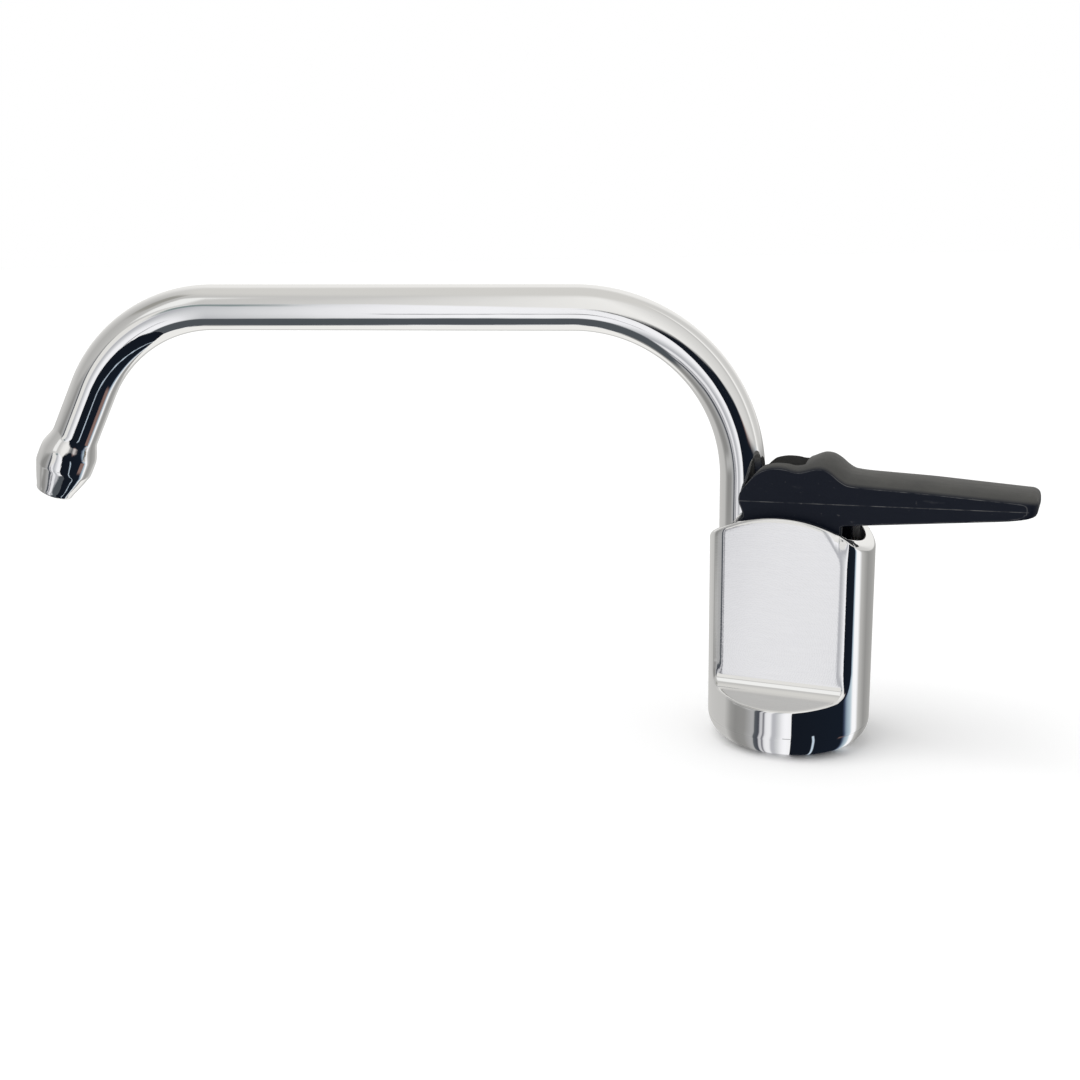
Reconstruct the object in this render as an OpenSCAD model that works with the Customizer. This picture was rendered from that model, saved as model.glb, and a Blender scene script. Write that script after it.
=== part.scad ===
// Folding caravan tap, millimetres, Z up.
// Origin: body axis on the mounting surface. Spout towards -X, lever towards +X.

/* [Body shell] */
// Outside diameter of the round body
body_d = 43; // [42.5:0.5:46]
// Distance across the two flats
flats_w = 24.4; // [24.2:0.2:27]
// Height of the crown of the arched top
body_h = 62.2; // [61.8:0.2:64]
// Radius of the arched top
dome_r = 34.6; // [33:0.2:38]
// Sideways place of the arch centre
dome_x = -0.8; // [-1.2:0.1:0]
// Diameter of the flat underside
foot_d = 29; // [28.6:0.2:31]
// Height at which the flats end
flat_z = 18.2; // [17:0.2:19]
// Radius of the cove under each flat
cove_r = 2.5; // [1.5:0.1:3]
// Outward fall of the ledge in degrees
ledge_slope = 16; // [8:1:20]
// Wall between a flat and the cavity
flat_wall = 2.2; // [1.8:0.1:2.2]
// Wall between the round outside and the cavity
round_wall = 2.7; // [2.2:0.1:2.8]
// Thickness of the floor
floor_t = 5; // [4.4:0.2:5.2]
// Width of the narrow lower cavity
low_cavity_w = 16; // [15.6:0.2:16.6]
// Height at which the cavity widens
widen_z = 22; // [21:0.5:24]

/* [Fixings] */
// Distance between the two fixing holes
fix_pitch = 24; // [23.8:0.1:24.6]
// Bore of a fixing hole
fix_drill_d = 4.2; // [3.3:0.1:4.2]
// Depth of a fixing hole
fix_depth = 14; // [8:1:16]
// Shell screw place along X
shell_screw_x = 10.4; // [10.2:0.1:10.6]
// Shell screw place along Y
shell_screw_y = 4.8; // [4.6:0.1:5]
// Shell screw thread diameter
shell_screw_d = 3; // [2.5:0.1:3]
// Shell screw head diameter
shell_head_d = 5.2; // [4.6:0.1:5.2]
// Shell screw head height
shell_head_h = 1.8; // [1.4:0.1:2]
// Shell screw grip in the manifold
shell_screw_grip = 6; // [4:0.5:6.5]
// Depth of the head below the base
head_sink = 0.3; // [0.2:0.1:0.5]

/* [Inlet and cable] */
// Bore of the inlet thread
inlet_bore_d = 8.92; // [8.5:0.02:9.2]
// Length of the inlet thread
inlet_len = 12; // [10:0.5:12]
// Outside diameter of the inlet boss
boss_d = 12.4; // [12:0.1:12.6]
// Outside diameter of the inlet seal
seal_d = 15; // [14.6:0.1:15.2]
// Height of the inlet seal
seal_h = 1.4; // [1:0.1:1.8]
// Cable grommet place along X
grommet_x = 10.3; // [10:0.1:10.5]
// Cable grommet distance from the middle plane
grommet_y = 5.9; // [5.7:0.1:6]
// Grommet diameter
grommet_d = 5; // [4.4:0.1:5]
// Cable bore of the grommet
cable_d = 3; // [2.4:0.1:3.2]

/* [Spout] */
// Outside diameter of the tube
tube_d = 12; // [11.6:0.1:12.2]
// Wall of the tube
tube_wall = 1; // [0.9:0.05:1.1]
// Height of the spout arm above the hinge
spout_h = 73.4; // [72:0.2:108]
// Largest bend radius above the stem
bend_one_r = 45; // [38:1:48]
// Rise of the spout arm towards the outlet in degrees
arm_rise = 1; // [0:0.5:3]
// Bend radius above the outlet
bend_two_r = 38; // [25:1:42]
// Length of the spout, stem axis to the corner of arm and outlet leg
spout_len = 164.3; // [140:0.1:200]
// Angle between the arm and the outlet leg
leg_angle = 64.4; // [45:0.2:80]
// Corner to the start of the outlet bulb
bulb_start = 37.8; // [36:0.2:60]
// Length of the outlet bulb
bulb_len = 18.2; // [17:0.2:20]
// Largest diameter of the bulb
bulb_d = 15.2; // [14.4:0.2:16]
// Place of the largest diameter along the bulb
bulb_peak = 7.9; // [7:0.1:8.5]
// Swivel of the spout at rest in degrees
swivel_rest = 20; // [0:1:60]
// Length of the flow insert
insert_len = 5; // [3:0.5:5.5]
// Depth of the flow insert in the outlet
insert_sink = 0.5; // [0.3:0.1:1]
// Diameter of the flow insert
insert_d = 8; // [7.6:0.1:8.2]
// Holes round the flow insert
insert_holes = 6; // [4:1:6]
// Diameter of a flow hole
insert_hole_d = 1.7; // [1.2:0.1:1.8]

/* [Spout hinge] */
// Hinge axis to the round cavity wall
hinge_setback = 5.2; // [5:0.1:5.4]
// Hinge axis below the crown of the body
hinge_depth = 20.2; // [19.8:0.1:20.6]
// Hinge pin diameter
hinge_pin_d = 7; // [6.8:0.1:7.2]
// Water bore of the hinge pin
pin_bore_d = 3.2; // [2.8:0.1:3.2]
// Cross holes of the hinge pin
pin_cross_d = 2; // [1.6:0.1:2.2]
// Radius of the two ears
ear_r = 6.8; // [6.6:0.1:7]
// Width of the knuckle tongue
tongue_w = 5.2; // [5:0.1:5.3]
// Thickness of a friction washer
washer_t = 0.5; // [0.4:0.05:0.6]
// Side play beside a friction washer
washer_play = 0.1; // [0.08:0.01:0.15]
// Width of the neck above the tongue
neck_w = 10; // [9:0.2:10.4]
// Hinge axis to the underside of the collar
collar_rise = 8; // [7.8:0.1:8.4]
// Height of the collar
collar_h = 2.5; // [2:0.1:3]
// Length of the spigot
spigot_len = 17; // [16:0.5:20]
// Water bore of the spigot
spigot_bore_d = 5; // [4:0.2:5.4]
// Height of the snap ring
clip_h = 1; // [0.8:0.1:1.2]
// Bite of the snap ring into the spigot
clip_bite = 0.75; // [0.6:0.05:0.8]
// Snap ring height above the collar
clip_rise = 3.2; // [3:0.1:3.6]
// Thickness of an O-ring on the spigot
spigot_ring_d = 1; // [0.8:0.1:1]
// First O-ring height above the collar
ring_rise = 7; // [6.6:0.1:7.6]
// Distance between the spigot O-rings
ring_pitch = 4.5; // [3:0.1:5]
// O-ring place on the hinge pin from the middle plane
pin_ring_y = 1.75; // [1.7:0.05:1.8]
// Thickness of an O-ring on the hinge pin
pin_ring_d = 0.84; // [0.7:0.02:0.86]

/* [Lever] */
// Width of the lever
lever_w = 17.2; // [17:0.1:17.8]
// Thickness of a fork cheek
cheek_t = 2.2; // [2:0.05:2.25]
// Lever pin place along X
lever_pin_x = 1; // [0.8:0.1:1.2]
// Lever pin below the crown of the body
lever_pin_depth = 10.2; // [9.8:0.1:10.4]
// Width of the post shank
shank_w = 6.4; // [6:0.1:6.6]
// Lever pin diameter
lever_pin_d = 5; // [4.6:0.1:5]
// Wall of a lever bush
bush_wall = 0.9; // [0.8:0.05:1]
// Radius of the lever hub round the pin
hub_r = 5.6; // [5.4:0.1:5.8]
// Lever nose in front of the spout axis
nose_back = 1.2; // [1:0.1:1.6]
// Nose above the lever pin
nose_rise = 13.7; // [13:0.1:14.5]
// First hump place along X
hump_one_x = -3.2; // [-3.6:0.1:-2.8]
// First hump above the lever pin
hump_one_rise = 23.1; // [22.6:0.1:23.6]
// First hump radius
hump_one_r = 8.5; // [8:0.1:9]
// Second hump place along X
hump_two_x = 8.2; // [7.8:0.1:8.6]
// Second hump above the lever pin
hump_two_rise = 24; // [23.4:0.1:24.4]
// Second hump radius
hump_two_r = 7; // [6.5:0.1:7.2]
// Radius of the dip between the humps
dip_r = 6.5; // [5.5:0.1:7]
// Setback of the lever front below the nose
nose_drop = 1.3; // [1:0.1:1.5]
// Start of the straight handle along X
handle_x = 15; // [14.8:0.1:16]
// Handle top there above the lever pin
handle_rise = 19.3; // [19:0.1:19.6]
// Length of the lever from its pin to the handle end
lever_len = 59.5; // [55:0.5:74]
// Handle top at its end above the lever pin
tip_rise = 16.6; // [16:0.1:17.2]
// Handle underside at its end above the lever pin
tip_low_rise = 13; // [12.4:0.1:13.4]
// Corner of the handle end
tip_corner = 1.8; // [1:0.1:2.2]
// Handle underside at the skirt above the lever pin
skirt_top_rise = 8.4; // [8:0.1:8.8]
// Room between the skirt corners and the round cavity wall
skirt_gap = 2.1; // [1.8:0.1:2.4]
// Skirt lower edge below the lever pin
skirt_drop = 5.1; // [4.6:0.1:5.2]
// Ceiling of the lever pocket above the lever pin
pocket_rise = 9.5; // [9.2:0.1:10]
// Fork root behind the lever pin
fork_back = 5.1; // [5:0.1:5.2]
// Chin of the hub above the lever pin
chin_rise = 4.5; // [4:0.1:5]
// Lift of the lever in degrees
lever_lift = 20; // [15:1:20]

/* [Valve] */
// Valve axis to the round cavity wall
valve_setback = 8.8; // [8.6:0.1:8.9]
// Bore of the valve chamber
chamber_d = 7.2; // [7.1:0.1:7.3]
// Outside diameter of the valve column
column_d = 9.6; // [9.4:0.1:9.8]
// Valve column top below the lever pin
column_drop = 16; // [15.6:0.1:16.4]
// Floor of the valve chamber
chamber_z = 12.8; // [12.5:0.1:13]
// Height of the cross drilling from the inlet
inlet_cross_z = 15; // [14.8:0.1:15.2]
// Bore of the cross drilling
inlet_cross_d = 4; // [3:0.2:4.2]
// Height of the seat underside
seat_z = 18.6; // [18.2:0.1:19]
// Height of the seat ring
seat_h = 2.5; // [2:0.1:2.8]
// Bore of the seat ring
seat_bore_d = 4; // [3.4:0.1:4.2]
// Thickness of the valve washer
valve_washer_t = 1; // [0.8:0.1:1.2]
// Thickness of the plunger flange
flange_t = 1.8; // [1.4:0.1:2]
// Diameter of the plunger flange
flange_d = 6.4; // [6.2:0.1:6.4]
// Diameter of the plunger stem
stem_d = 4; // [3.8:0.1:4]
// Width of the plunger head
head_w = 5.6; // [5.4:0.1:5.8]
// Depth of the plunger head
head_depth = 6; // [5:0.1:6.2]
// Height of the plunger head
head_h = 8; // [7.6:0.1:8.4]
// Diameter of the lift pin
lift_pin_d = 3; // [2.6:0.1:3]
// Lift pin below the lever pin
lift_pin_drop = 2; // [1.8:0.1:2.1]
// Play of the lift pin in its slot
lift_play = 0.3; // [0.25:0.05:0.4]
// Sideways room of the lift pin in its slot
lift_room = 0.6; // [0.5:0.1:0.8]
// Wire of the valve spring
spring_wire = 0.5; // [0.4:0.05:0.5]
// Length of the gland nut thread
gland_len = 5; // [4.6:0.1:5.2]
// Height of the gland nut head
gland_head_h = 1.8; // [1.4:0.1:2]
// Diameter of the gland nut head
gland_head_d = 9.2; // [8.6:0.1:9.4]
// Thickness of the stem O-ring
stem_ring_d = 0.74; // [0.6:0.02:0.76]
// Bore of the water passages
passage_d = 2.6; // [2.2:0.1:2.8]
// Passage distance from the middle plane
passage_y = 4.9; // [4.8:0.1:5]
// Passage height
passage_z = 26; // [25.6:0.1:26.4]

/* [Pump switch] */
// Length of the switch case
switch_len = 9; // [8.4:0.1:9.2]
// Thickness of the switch case
switch_t = 4.4; // [4:0.1:4.6]
// Height of the switch case
switch_h = 6; // [5.6:0.1:6.2]
// Switch case end behind the valve axis
switch_back = 3.8; // [3.6:0.1:4]
// Height of the switch underside above the column
switch_rise = 3; // [2.8:0.1:3.2]
// Switch button diameter
button_d = 1.8; // [1.4:0.1:2]
// Switch button height above the case
button_h = 1.3; // [1.1:0.1:1.5]
// Switch button travel
button_travel = 0.9; // [0.6:0.1:1]
// Thickness of the switch bracket
bracket_t = 0.8; // [0.7:0.05:0.9]
// Bracket foot behind the lever pin
bracket_back = 4; // [3.8:0.1:4.2]
// Switch screw diameter
switch_screw_d = 1.6; // [1.4:0.1:1.7]
// Distance between the switch screws
switch_screw_pitch = 4.8; // [4.4:0.1:5]
// Thickness of a terminal tab
tab_t = 0.5; // [0.4:0.05:0.6]
// Width of a terminal tab
tab_w = 1.2; // [1:0.1:1.4]
// Length of a terminal tab
tab_len = 2.2; // [1.8:0.1:2.4]
// Bracket screw diameter
bracket_screw_d = 2; // [1.6:0.1:2]
// Bracket screw length in the manifold
bracket_screw_grip = 5; // [3:0.5:6]

/* [Clearances] */
// Running fit, on the radius
run_gap = 0.05; // [0.03:0.01:0.08]
// Gap between separate round faces
free_gap = 0.4; // [0.35:0.05:0.45]
// Gap round a seated piece
seat_gap = 0.05; // [0.03:0.01:0.08]
// Gap beside the spout in the body slot
slot_gap = 0.5; // [0.4:0.05:0.6]
// Gap over an O-ring, on the radius
ring_gap = 0.3; // [0.25:0.05:0.35]
// Gap between the lever post and the plunger head
post_gap = 1.2; // [1.1:0.1:1.4]
// Extra width of a groove
groove_room = 0.2; // [0.1:0.05:0.3]

/* [Hidden] */
$fn = 64;
over = 1;
body_r = body_d / 2;
foot_r = body_r - foot_d / 2;
flat_y = flats_w / 2;
cavity_y = flat_y - flat_wall;
cavity_r = body_r - round_wall;
low_y = low_cavity_w / 2;
dome_z = body_h - dome_r;
pin_r = hinge_pin_d / 2;
hinge_x = hinge_setback - cavity_r;
hinge_z = body_h - hinge_depth;
arm_h = hinge_z + spout_h;
valve_x = cavity_r - valve_setback;
lever_pin_z = body_h - lever_pin_depth;
nose_x = hinge_x + nose_back;
nose_z = lever_pin_z + nose_rise;
hump_one_z = lever_pin_z + hump_one_rise;
hump_two_z = lever_pin_z + hump_two_rise;
handle_z = lever_pin_z + handle_rise;
tip_x = lever_pin_x + lever_len;
tip_z = lever_pin_z + tip_rise;
tip_low_z = lever_pin_z + tip_low_rise;
skirt_top_z = lever_pin_z + skirt_top_rise;
skirt_x = sqrt(pow(cavity_r - skirt_gap, 2) - pow(lever_w / 2, 2));
skirt_low_z = lever_pin_z - skirt_drop;
pocket_z = lever_pin_z + pocket_rise;
column_top = lever_pin_z - column_drop;
lift_pin_z = lever_pin_z - lift_pin_drop;
switch_x = valve_x - switch_back;
tube_r = tube_d / 2;
tube_in = tube_r - tube_wall;
slot_y = tube_r + slot_gap;
slot_z = hinge_z - slot_y;
pin_half = sqrt(pow(cavity_r - free_gap, 2) - pow(pin_r - hinge_x, 2));
tongue_y = tongue_w / 2;
ear_in = tongue_y + washer_t + 2 * washer_play;
ear_out = cavity_y - free_gap;
tongue_r = ear_r - free_gap;
collar_z = hinge_z + collar_rise;
spigot_z = collar_z + collar_h;
spigot_r = tube_in - run_gap;
clip_in = spigot_r - clip_bite;
tube_z = spigot_z + seat_gap;
cheek_y = lever_w / 2 - cheek_t;
post_y = cheek_y - free_gap;
shank_y = shank_w / 2;
post_r = valve_x - head_w / 2 - post_gap - lever_pin_x;
stem_r = stem_d / 2;
chamber_r = chamber_d / 2;
seat_top = seat_z + seat_h;
flange_z = seat_top + valve_washer_t;
spring_z = flange_z + flange_t;
gland_z = column_top - gland_len;
bracket_y = shank_y + free_gap / 2;
case_y = bracket_y + bracket_t;
case_z = column_top + switch_rise;
button_y = (cheek_y + lever_w / 2) / 2;
button_x = switch_x + switch_len / 2;
button_pocket = 2 * button_travel;
button_len = button_pocket - free_gap;
turn_two = bend_two_r * tan(leg_angle / 2);
bend_one = min(bend_one_r, arm_h - spigot_z - spigot_len - free_gap);
arm_len = (spout_len - bend_one * (1 - sin(arm_rise))) / cos(arm_rise) - turn_two;
leg_len = bulb_start - turn_two;
bulb_r = ((bulb_d / 2 - tube_r) + bulb_peak * bulb_peak / (bulb_d / 2 - tube_r)) / 2;
insert_r = insert_d / 2;
insert_z = bulb_len - insert_len - insert_sink;
root_low_x = lever_pin_x - fork_back;
root_top_x = root_low_x + (hump_one_z - pocket_z) * tan(lever_lift);
switch_mid_z = case_z + switch_h / 2;
bracket_x0 = lever_pin_x - bracket_back;
hump_start = 118;
hub_end = -150;
leg_step = 0.02;
arc_steps = 12;
bracket_screw_y = (case_y + low_y) / 2;

// Points of an arc from one angle to another.
function arc(x, z, r, from, to) = [for (step = [0 : arc_steps])
    let (turn = from + (to - from) * step / arc_steps) [x + r * cos(turn), z + r * sin(turn)]];

// Rod along Y, centred on the middle plane.
module rod_y(x, z, r, half) {
    translate([x, half, z])
        rotate([90, 0, 0])
            cylinder(r = r, h = 2 * half);
}

// Rod along Y from one side to the other.
module rod_span(x, z, r, y0, y1) {
    translate([x, y1, z])
        rotate([90, 0, 0])
            cylinder(r = r, h = y1 - y0);
}

// Ring of round section about an axis along Z.
module ring(major, minor) {
    rotate_extrude()
        translate([major, 0])
            circle(r = minor, $fn = $fn / 2);
}

// Ring of round section about an axis along Y.
module ring_y(x, y, z, major, minor) {
    translate([x, y, z])
        rotate([90, 0, 0])
            ring(major, minor);
}

// Flat sheet cut to a side profile, centred on the middle plane.
module side_sheet(width) {
    rotate([90, 0, 0])
        linear_extrude(height = width, center = true)
            children();
}

module shell_round() {
    rotate_extrude()
        union() {
            square([body_r - foot_r, body_h]);
            translate([0, foot_r])
                square([body_r, body_h - foot_r]);
            translate([body_r - foot_r, foot_r])
                intersection() {
                    circle(r = foot_r);
                    translate([0, -foot_r])
                        square([foot_r, foot_r]);
                }
        }
}

module shell_arch() {
    rod_y(dome_x, dome_z, dome_r, body_d);
    translate([-body_d, -body_d, 0])
        cube([2 * body_d, 2 * body_d, dome_z]);
}

module flat_cutter() {
    cove_y = flat_y + cove_r;
    out_y = body_r + over;
    out_z = flat_z - cove_r / cos(ledge_slope) - (out_y - cove_y) * tan(ledge_slope);
    rotate([90, 0, 90])
        linear_extrude(height = 2 * body_d, center = true)
            polygon(concat([[flat_y, body_h + over], [out_y, body_h + over], [out_y, out_z]],
                arc(cove_y, flat_z, cove_r, 270 - ledge_slope, 180)));
}

module cavity() {
    intersection() {
        translate([0, 0, floor_t])
            cylinder(r = cavity_r, h = body_h);
        union() {
            translate([-body_r, -low_y, 0])
                cube([body_d, 2 * low_y, body_h + over]);
            translate([-body_r, -cavity_y, widen_z])
                cube([body_d, 2 * cavity_y, body_h]);
        }
    }
}

module at_shell_screws() {
    for (side = [-1, 1])
        translate([side * shell_screw_x, side * shell_screw_y, 0])
            children();
}

module body_shell() {
    color("silver")
        difference() {
            intersection() {
                shell_round();
                shell_arch();
            }
            flat_cutter();
            mirror([0, 1, 0])
                flat_cutter();
            cavity();
            translate([-body_d, -slot_y, slot_z])
                cube([body_d + hinge_x, 2 * slot_y, body_h]);
            translate([0, 0, -over])
                cylinder(r = boss_d / 2 + free_gap, h = floor_t + 2 * over);
            translate([0, 0, -over])
                cylinder(r = seal_d / 2 + seat_gap, h = over + seal_h);
            at_shell_screws() {
                translate([0, 0, -over])
                    cylinder(r = shell_screw_d / 2 + seat_gap, h = floor_t + 2 * over);
                translate([0, 0, -over])
                    cylinder(r = shell_head_d / 2 + seat_gap, h = over + head_sink + shell_head_h);
            }
            translate([grommet_x, -grommet_y, -over])
                cylinder(r = grommet_d / 2 + seat_gap, h = floor_t + 2 * over);
            for (side = [-1, 1])
                translate([0, side * fix_pitch / 2, -over])
                    cylinder(d = fix_drill_d, h = fix_depth + over);
        }
}

module inlet_seal() {
    color("black")
        difference() {
            cylinder(d = seal_d, h = seal_h);
            translate([0, 0, -over])
                cylinder(r = boss_d / 2 + seat_gap, h = seal_h + 2 * over);
        }
}

module cable_grommet() {
    color("black")
        translate([grommet_x, -grommet_y, head_sink])
            difference() {
                cylinder(d = grommet_d, h = floor_t - head_sink);
                translate([0, 0, -over])
                    cylinder(d = cable_d, h = floor_t + 2 * over);
            }
}

module manifold_block() {
    block_x = hinge_x + ear_r;
    cavity_fit = cavity_r - free_gap;
    low_fit = low_y - free_gap;
    cylinder(d = boss_d, h = floor_t + over);
    intersection() {
        translate([0, 0, floor_t])
            cylinder(r = cavity_fit, h = body_h);
        union() {
            translate([-body_d, -low_fit, floor_t])
                cube([body_d + block_x, 2 * low_fit, hinge_z - ear_r - floor_t]);
            translate([0, 0, floor_t])
                cylinder(d = boss_d, h = column_top - floor_t);
            translate([block_x - over, -shank_y, floor_t])
                cube([valve_x - block_x + over, 2 * shank_y, column_top - floor_t]);
            translate([block_x - over, 0, floor_t])
                cube([valve_x - block_x + over, low_fit, column_top - floor_t]);
            translate([valve_x, 0, floor_t])
                cylinder(d = column_d, h = column_top - floor_t);
            at_shell_screws()
                translate([0, 0, floor_t])
                    cylinder(r = low_fit - shell_screw_y, h = shell_screw_grip + over);
            for (side = [0, 1])
                mirror([0, side, 0])
                    manifold_ear();
            manifold_post();
        }
    }
}

module manifold_ear() {
    ear_low = widen_z + free_gap;
    rod_span(hinge_x, hinge_z, ear_r, ear_in, ear_out);
    translate([hinge_x - ear_r, ear_in, ear_low])
        cube([2 * ear_r, ear_out - ear_in, hinge_z - ear_low]);
}

module manifold_post() {
    post_w = 2 * post_r;
    post_low = lever_pin_z - post_r - over;
    translate([lever_pin_x - post_r + over, -shank_y, column_top - over])
        cube([post_w - 2 * over, 2 * shank_y, lever_pin_z - column_top + over]);
    translate([lever_pin_x - post_r, -post_y, post_low])
        cube([post_w, 2 * post_y, lever_pin_z - post_low]);
    rod_y(lever_pin_x, lever_pin_z, post_r, post_y);
}

module manifold() {
    color("goldenrod")
        difference() {
            manifold_block();
            translate([0, 0, -over])
                cylinder(d = inlet_bore_d, h = over + inlet_len);
            translate([0, 0, inlet_len - over])
                cylinder(d = inlet_cross_d, h = inlet_cross_z - inlet_len + over);
            translate([0, 0, inlet_cross_z])
                rotate([0, 90, 0])
                    cylinder(d = inlet_cross_d, h = valve_x);
            translate([valve_x, 0, chamber_z])
                cylinder(r = chamber_r, h = column_top - chamber_z + over);
            rod_span(valve_x, passage_z, passage_d / 2, 0, passage_y);
            translate([hinge_x, passage_y, passage_z])
                rotate([0, 90, 0])
                    cylinder(d = passage_d, h = valve_x - hinge_x);
            translate([hinge_x, passage_y, passage_z])
                cylinder(d = passage_d, h = hinge_z - passage_z);
            rod_y(hinge_x, hinge_z, pin_r + seat_gap, ear_out + over);
            rod_y(lever_pin_x, lever_pin_z, lever_pin_d / 2 + seat_gap, post_y + over);
            at_shell_screws()
                cylinder(r = shell_screw_d / 2 + seat_gap, h = floor_t + shell_screw_grip);
            translate([lever_pin_x, bracket_screw_y, column_top - bracket_screw_grip])
                cylinder(r = bracket_screw_d / 2 + seat_gap, h = bracket_screw_grip + over);
        }
}

module shell_screws() {
    color("lightgray")
        at_shell_screws()
            translate([0, 0, head_sink])
                difference() {
                    union() {
                        cylinder(d = shell_head_d, h = shell_head_h);
                        cylinder(d = shell_screw_d, h = floor_t + shell_screw_grip - 2 * head_sink);
                    }
                    translate([0, 0, -over])
                        cylinder(d = shell_screw_d / 2, h = over + shell_head_h / 2, $fn = 6);
                }
}

module valve_seat() {
    color("ivory")
        translate([valve_x, 0, seat_z])
            difference() {
                cylinder(r = chamber_r - seat_gap, h = seat_h);
                translate([0, 0, -over])
                    cylinder(d = seat_bore_d, h = seat_h + 2 * over);
            }
}

module valve_plunger() {
    slot_w = lift_pin_d + 2 * lift_room;
    slot_h = lift_pin_d + 2 * lift_play;
    head_z = lift_pin_z - head_h / 2;
    color("gold")
        difference() {
            union() {
                translate([valve_x, 0, flange_z])
                    cylinder(d = flange_d, h = flange_t);
                translate([valve_x, 0, flange_z])
                    cylinder(r = stem_r, h = head_z - flange_z + over);
                translate([valve_x - head_w / 2, -head_depth / 2, head_z])
                    cube([head_w, head_depth, head_h]);
            }
            translate([valve_x - slot_w / 2, -head_depth, lift_pin_z - slot_h / 2])
                cube([slot_w, 2 * head_depth, slot_h]);
        }
}

module valve_washer() {
    color("dimgray")
        translate([valve_x, 0, seat_top])
            cylinder(d = flange_d - free_gap, h = valve_washer_t);
}

module valve_spring() {
    coil_in = (stem_d + chamber_d - 2 * spring_wire) / 4;
    color("gainsboro")
        translate([valve_x, 0, spring_z])
            difference() {
                cylinder(r = coil_in + spring_wire, h = gland_z - spring_z);
                translate([0, 0, -over])
                    cylinder(r = coil_in, h = gland_z - spring_z + 2 * over);
            }
}

module gland_nut() {
    gland_groove = stem_ring_d + groove_room;
    color("goldenrod")
        translate([valve_x, 0, gland_z])
            difference() {
                union() {
                    cylinder(r = chamber_r - seat_gap, h = gland_len);
                    translate([0, 0, gland_len])
                        cylinder(d = gland_head_d, h = gland_head_h, $fn = 6);
                }
                translate([0, 0, -over])
                    cylinder(r = stem_r + run_gap, h = gland_len + gland_head_h + 2 * over);
                translate([0, 0, (gland_len - gland_groove) / 2])
                    cylinder(r = stem_r + ring_gap + stem_ring_d + run_gap, h = gland_groove);
            }
}

module plunger_oring() {
    color("black")
        translate([valve_x, 0, gland_z + gland_len / 2])
            ring(stem_r + ring_gap + stem_ring_d / 2, stem_ring_d / 2);
}

module pin_ring_places() {
    for (side = [-1, 1])
        translate([0, side * pin_ring_y, 0])
            children();
}

module hinge_pin() {
    groove_w = pin_ring_d + groove_room;
    groove_r = pin_r - ring_gap - pin_ring_d - run_gap;
    color("lightgray")
        difference() {
            rod_y(hinge_x, hinge_z, pin_r, pin_half);
            rod_span(hinge_x, hinge_z, pin_bore_d / 2, -pin_cross_d, pin_half + over);
            for (y = [0, passage_y])
                translate([hinge_x, y, hinge_z - hinge_pin_d])
                    cylinder(d = pin_cross_d, h = 2 * hinge_pin_d);
            pin_ring_places()
                difference() {
                    rod_y(hinge_x, hinge_z, pin_r + over, groove_w / 2);
                    rod_y(hinge_x, hinge_z, groove_r, groove_w);
                }
        }
}

module pin_plug() {
    color("goldenrod")
        rod_span(hinge_x, hinge_z, pin_bore_d / 2 - seat_gap, passage_y + pin_cross_d / 2, pin_half);
}

module pin_orings() {
    color("black")
        pin_ring_places()
            ring_y(hinge_x, 0, hinge_z, pin_r - ring_gap - pin_ring_d / 2, pin_ring_d / 2);
}

module friction_washers() {
    washer_in = tongue_y + washer_play;
    color("gray")
        for (side = [0, 1])
            mirror([0, side, 0])
                difference() {
                    rod_span(hinge_x, hinge_z, tongue_r, washer_in, washer_in + washer_t);
                    rod_span(hinge_x, hinge_z, pin_r + ring_gap, 0, ear_out);
                }
}

module knuckle() {
    clip_z = spigot_z + clip_rise;
    color("goldenrod")
        difference() {
            union() {
                rod_y(hinge_x, hinge_z, tongue_r, tongue_y);
                translate([hinge_x - neck_w / 2, -tongue_y, hinge_z])
                    cube([neck_w, tongue_w, collar_rise + over]);
                translate([hinge_x, 0, collar_z])
                    cylinder(r = tube_r, h = collar_h);
                translate([hinge_x, 0, collar_z])
                    cylinder(r = spigot_r, h = collar_h + spigot_len);
            }
            rod_y(hinge_x, hinge_z, pin_r + run_gap, tongue_w);
            translate([hinge_x, 0, hinge_z])
                cylinder(d = passage_d, h = collar_rise + over);
            translate([hinge_x, 0, collar_z])
                cylinder(d = spigot_bore_d, h = collar_h + spigot_len + over);
            spigot_groove(clip_z, clip_h + groove_room, clip_in - run_gap);
            for (turn = [0, 1])
                spigot_groove(spigot_z + ring_rise + turn * ring_pitch, spigot_ring_d + groove_room,
                    tube_in - ring_gap - spigot_ring_d - run_gap);
        }
}

module spigot_groove(z, h, r) {
    translate([hinge_x, 0, z - h / 2])
        difference() {
            cylinder(r = tube_r + over, h = h);
            translate([0, 0, -over])
                cylinder(r = r, h = h + 2 * over);
        }
}

module spigot_orings() {
    color("black")
        for (turn = [0, 1])
            translate([hinge_x, 0, spigot_z + ring_rise + turn * ring_pitch])
                ring(tube_in - ring_gap - spigot_ring_d / 2, spigot_ring_d / 2);
}

module spout_clip() {
    clip_out = tube_in + tube_wall / 4;
    color("lightgray")
        translate([hinge_x, 0, spigot_z + clip_rise - clip_h / 2])
            difference() {
                cylinder(r = clip_out, h = clip_h);
                translate([0, 0, -over])
                    cylinder(r = clip_in, h = clip_h + 2 * over);
                translate([0, -over, -over])
                    cube([tube_d, 2 * over, clip_h + 2 * over]);
            }
}

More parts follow.
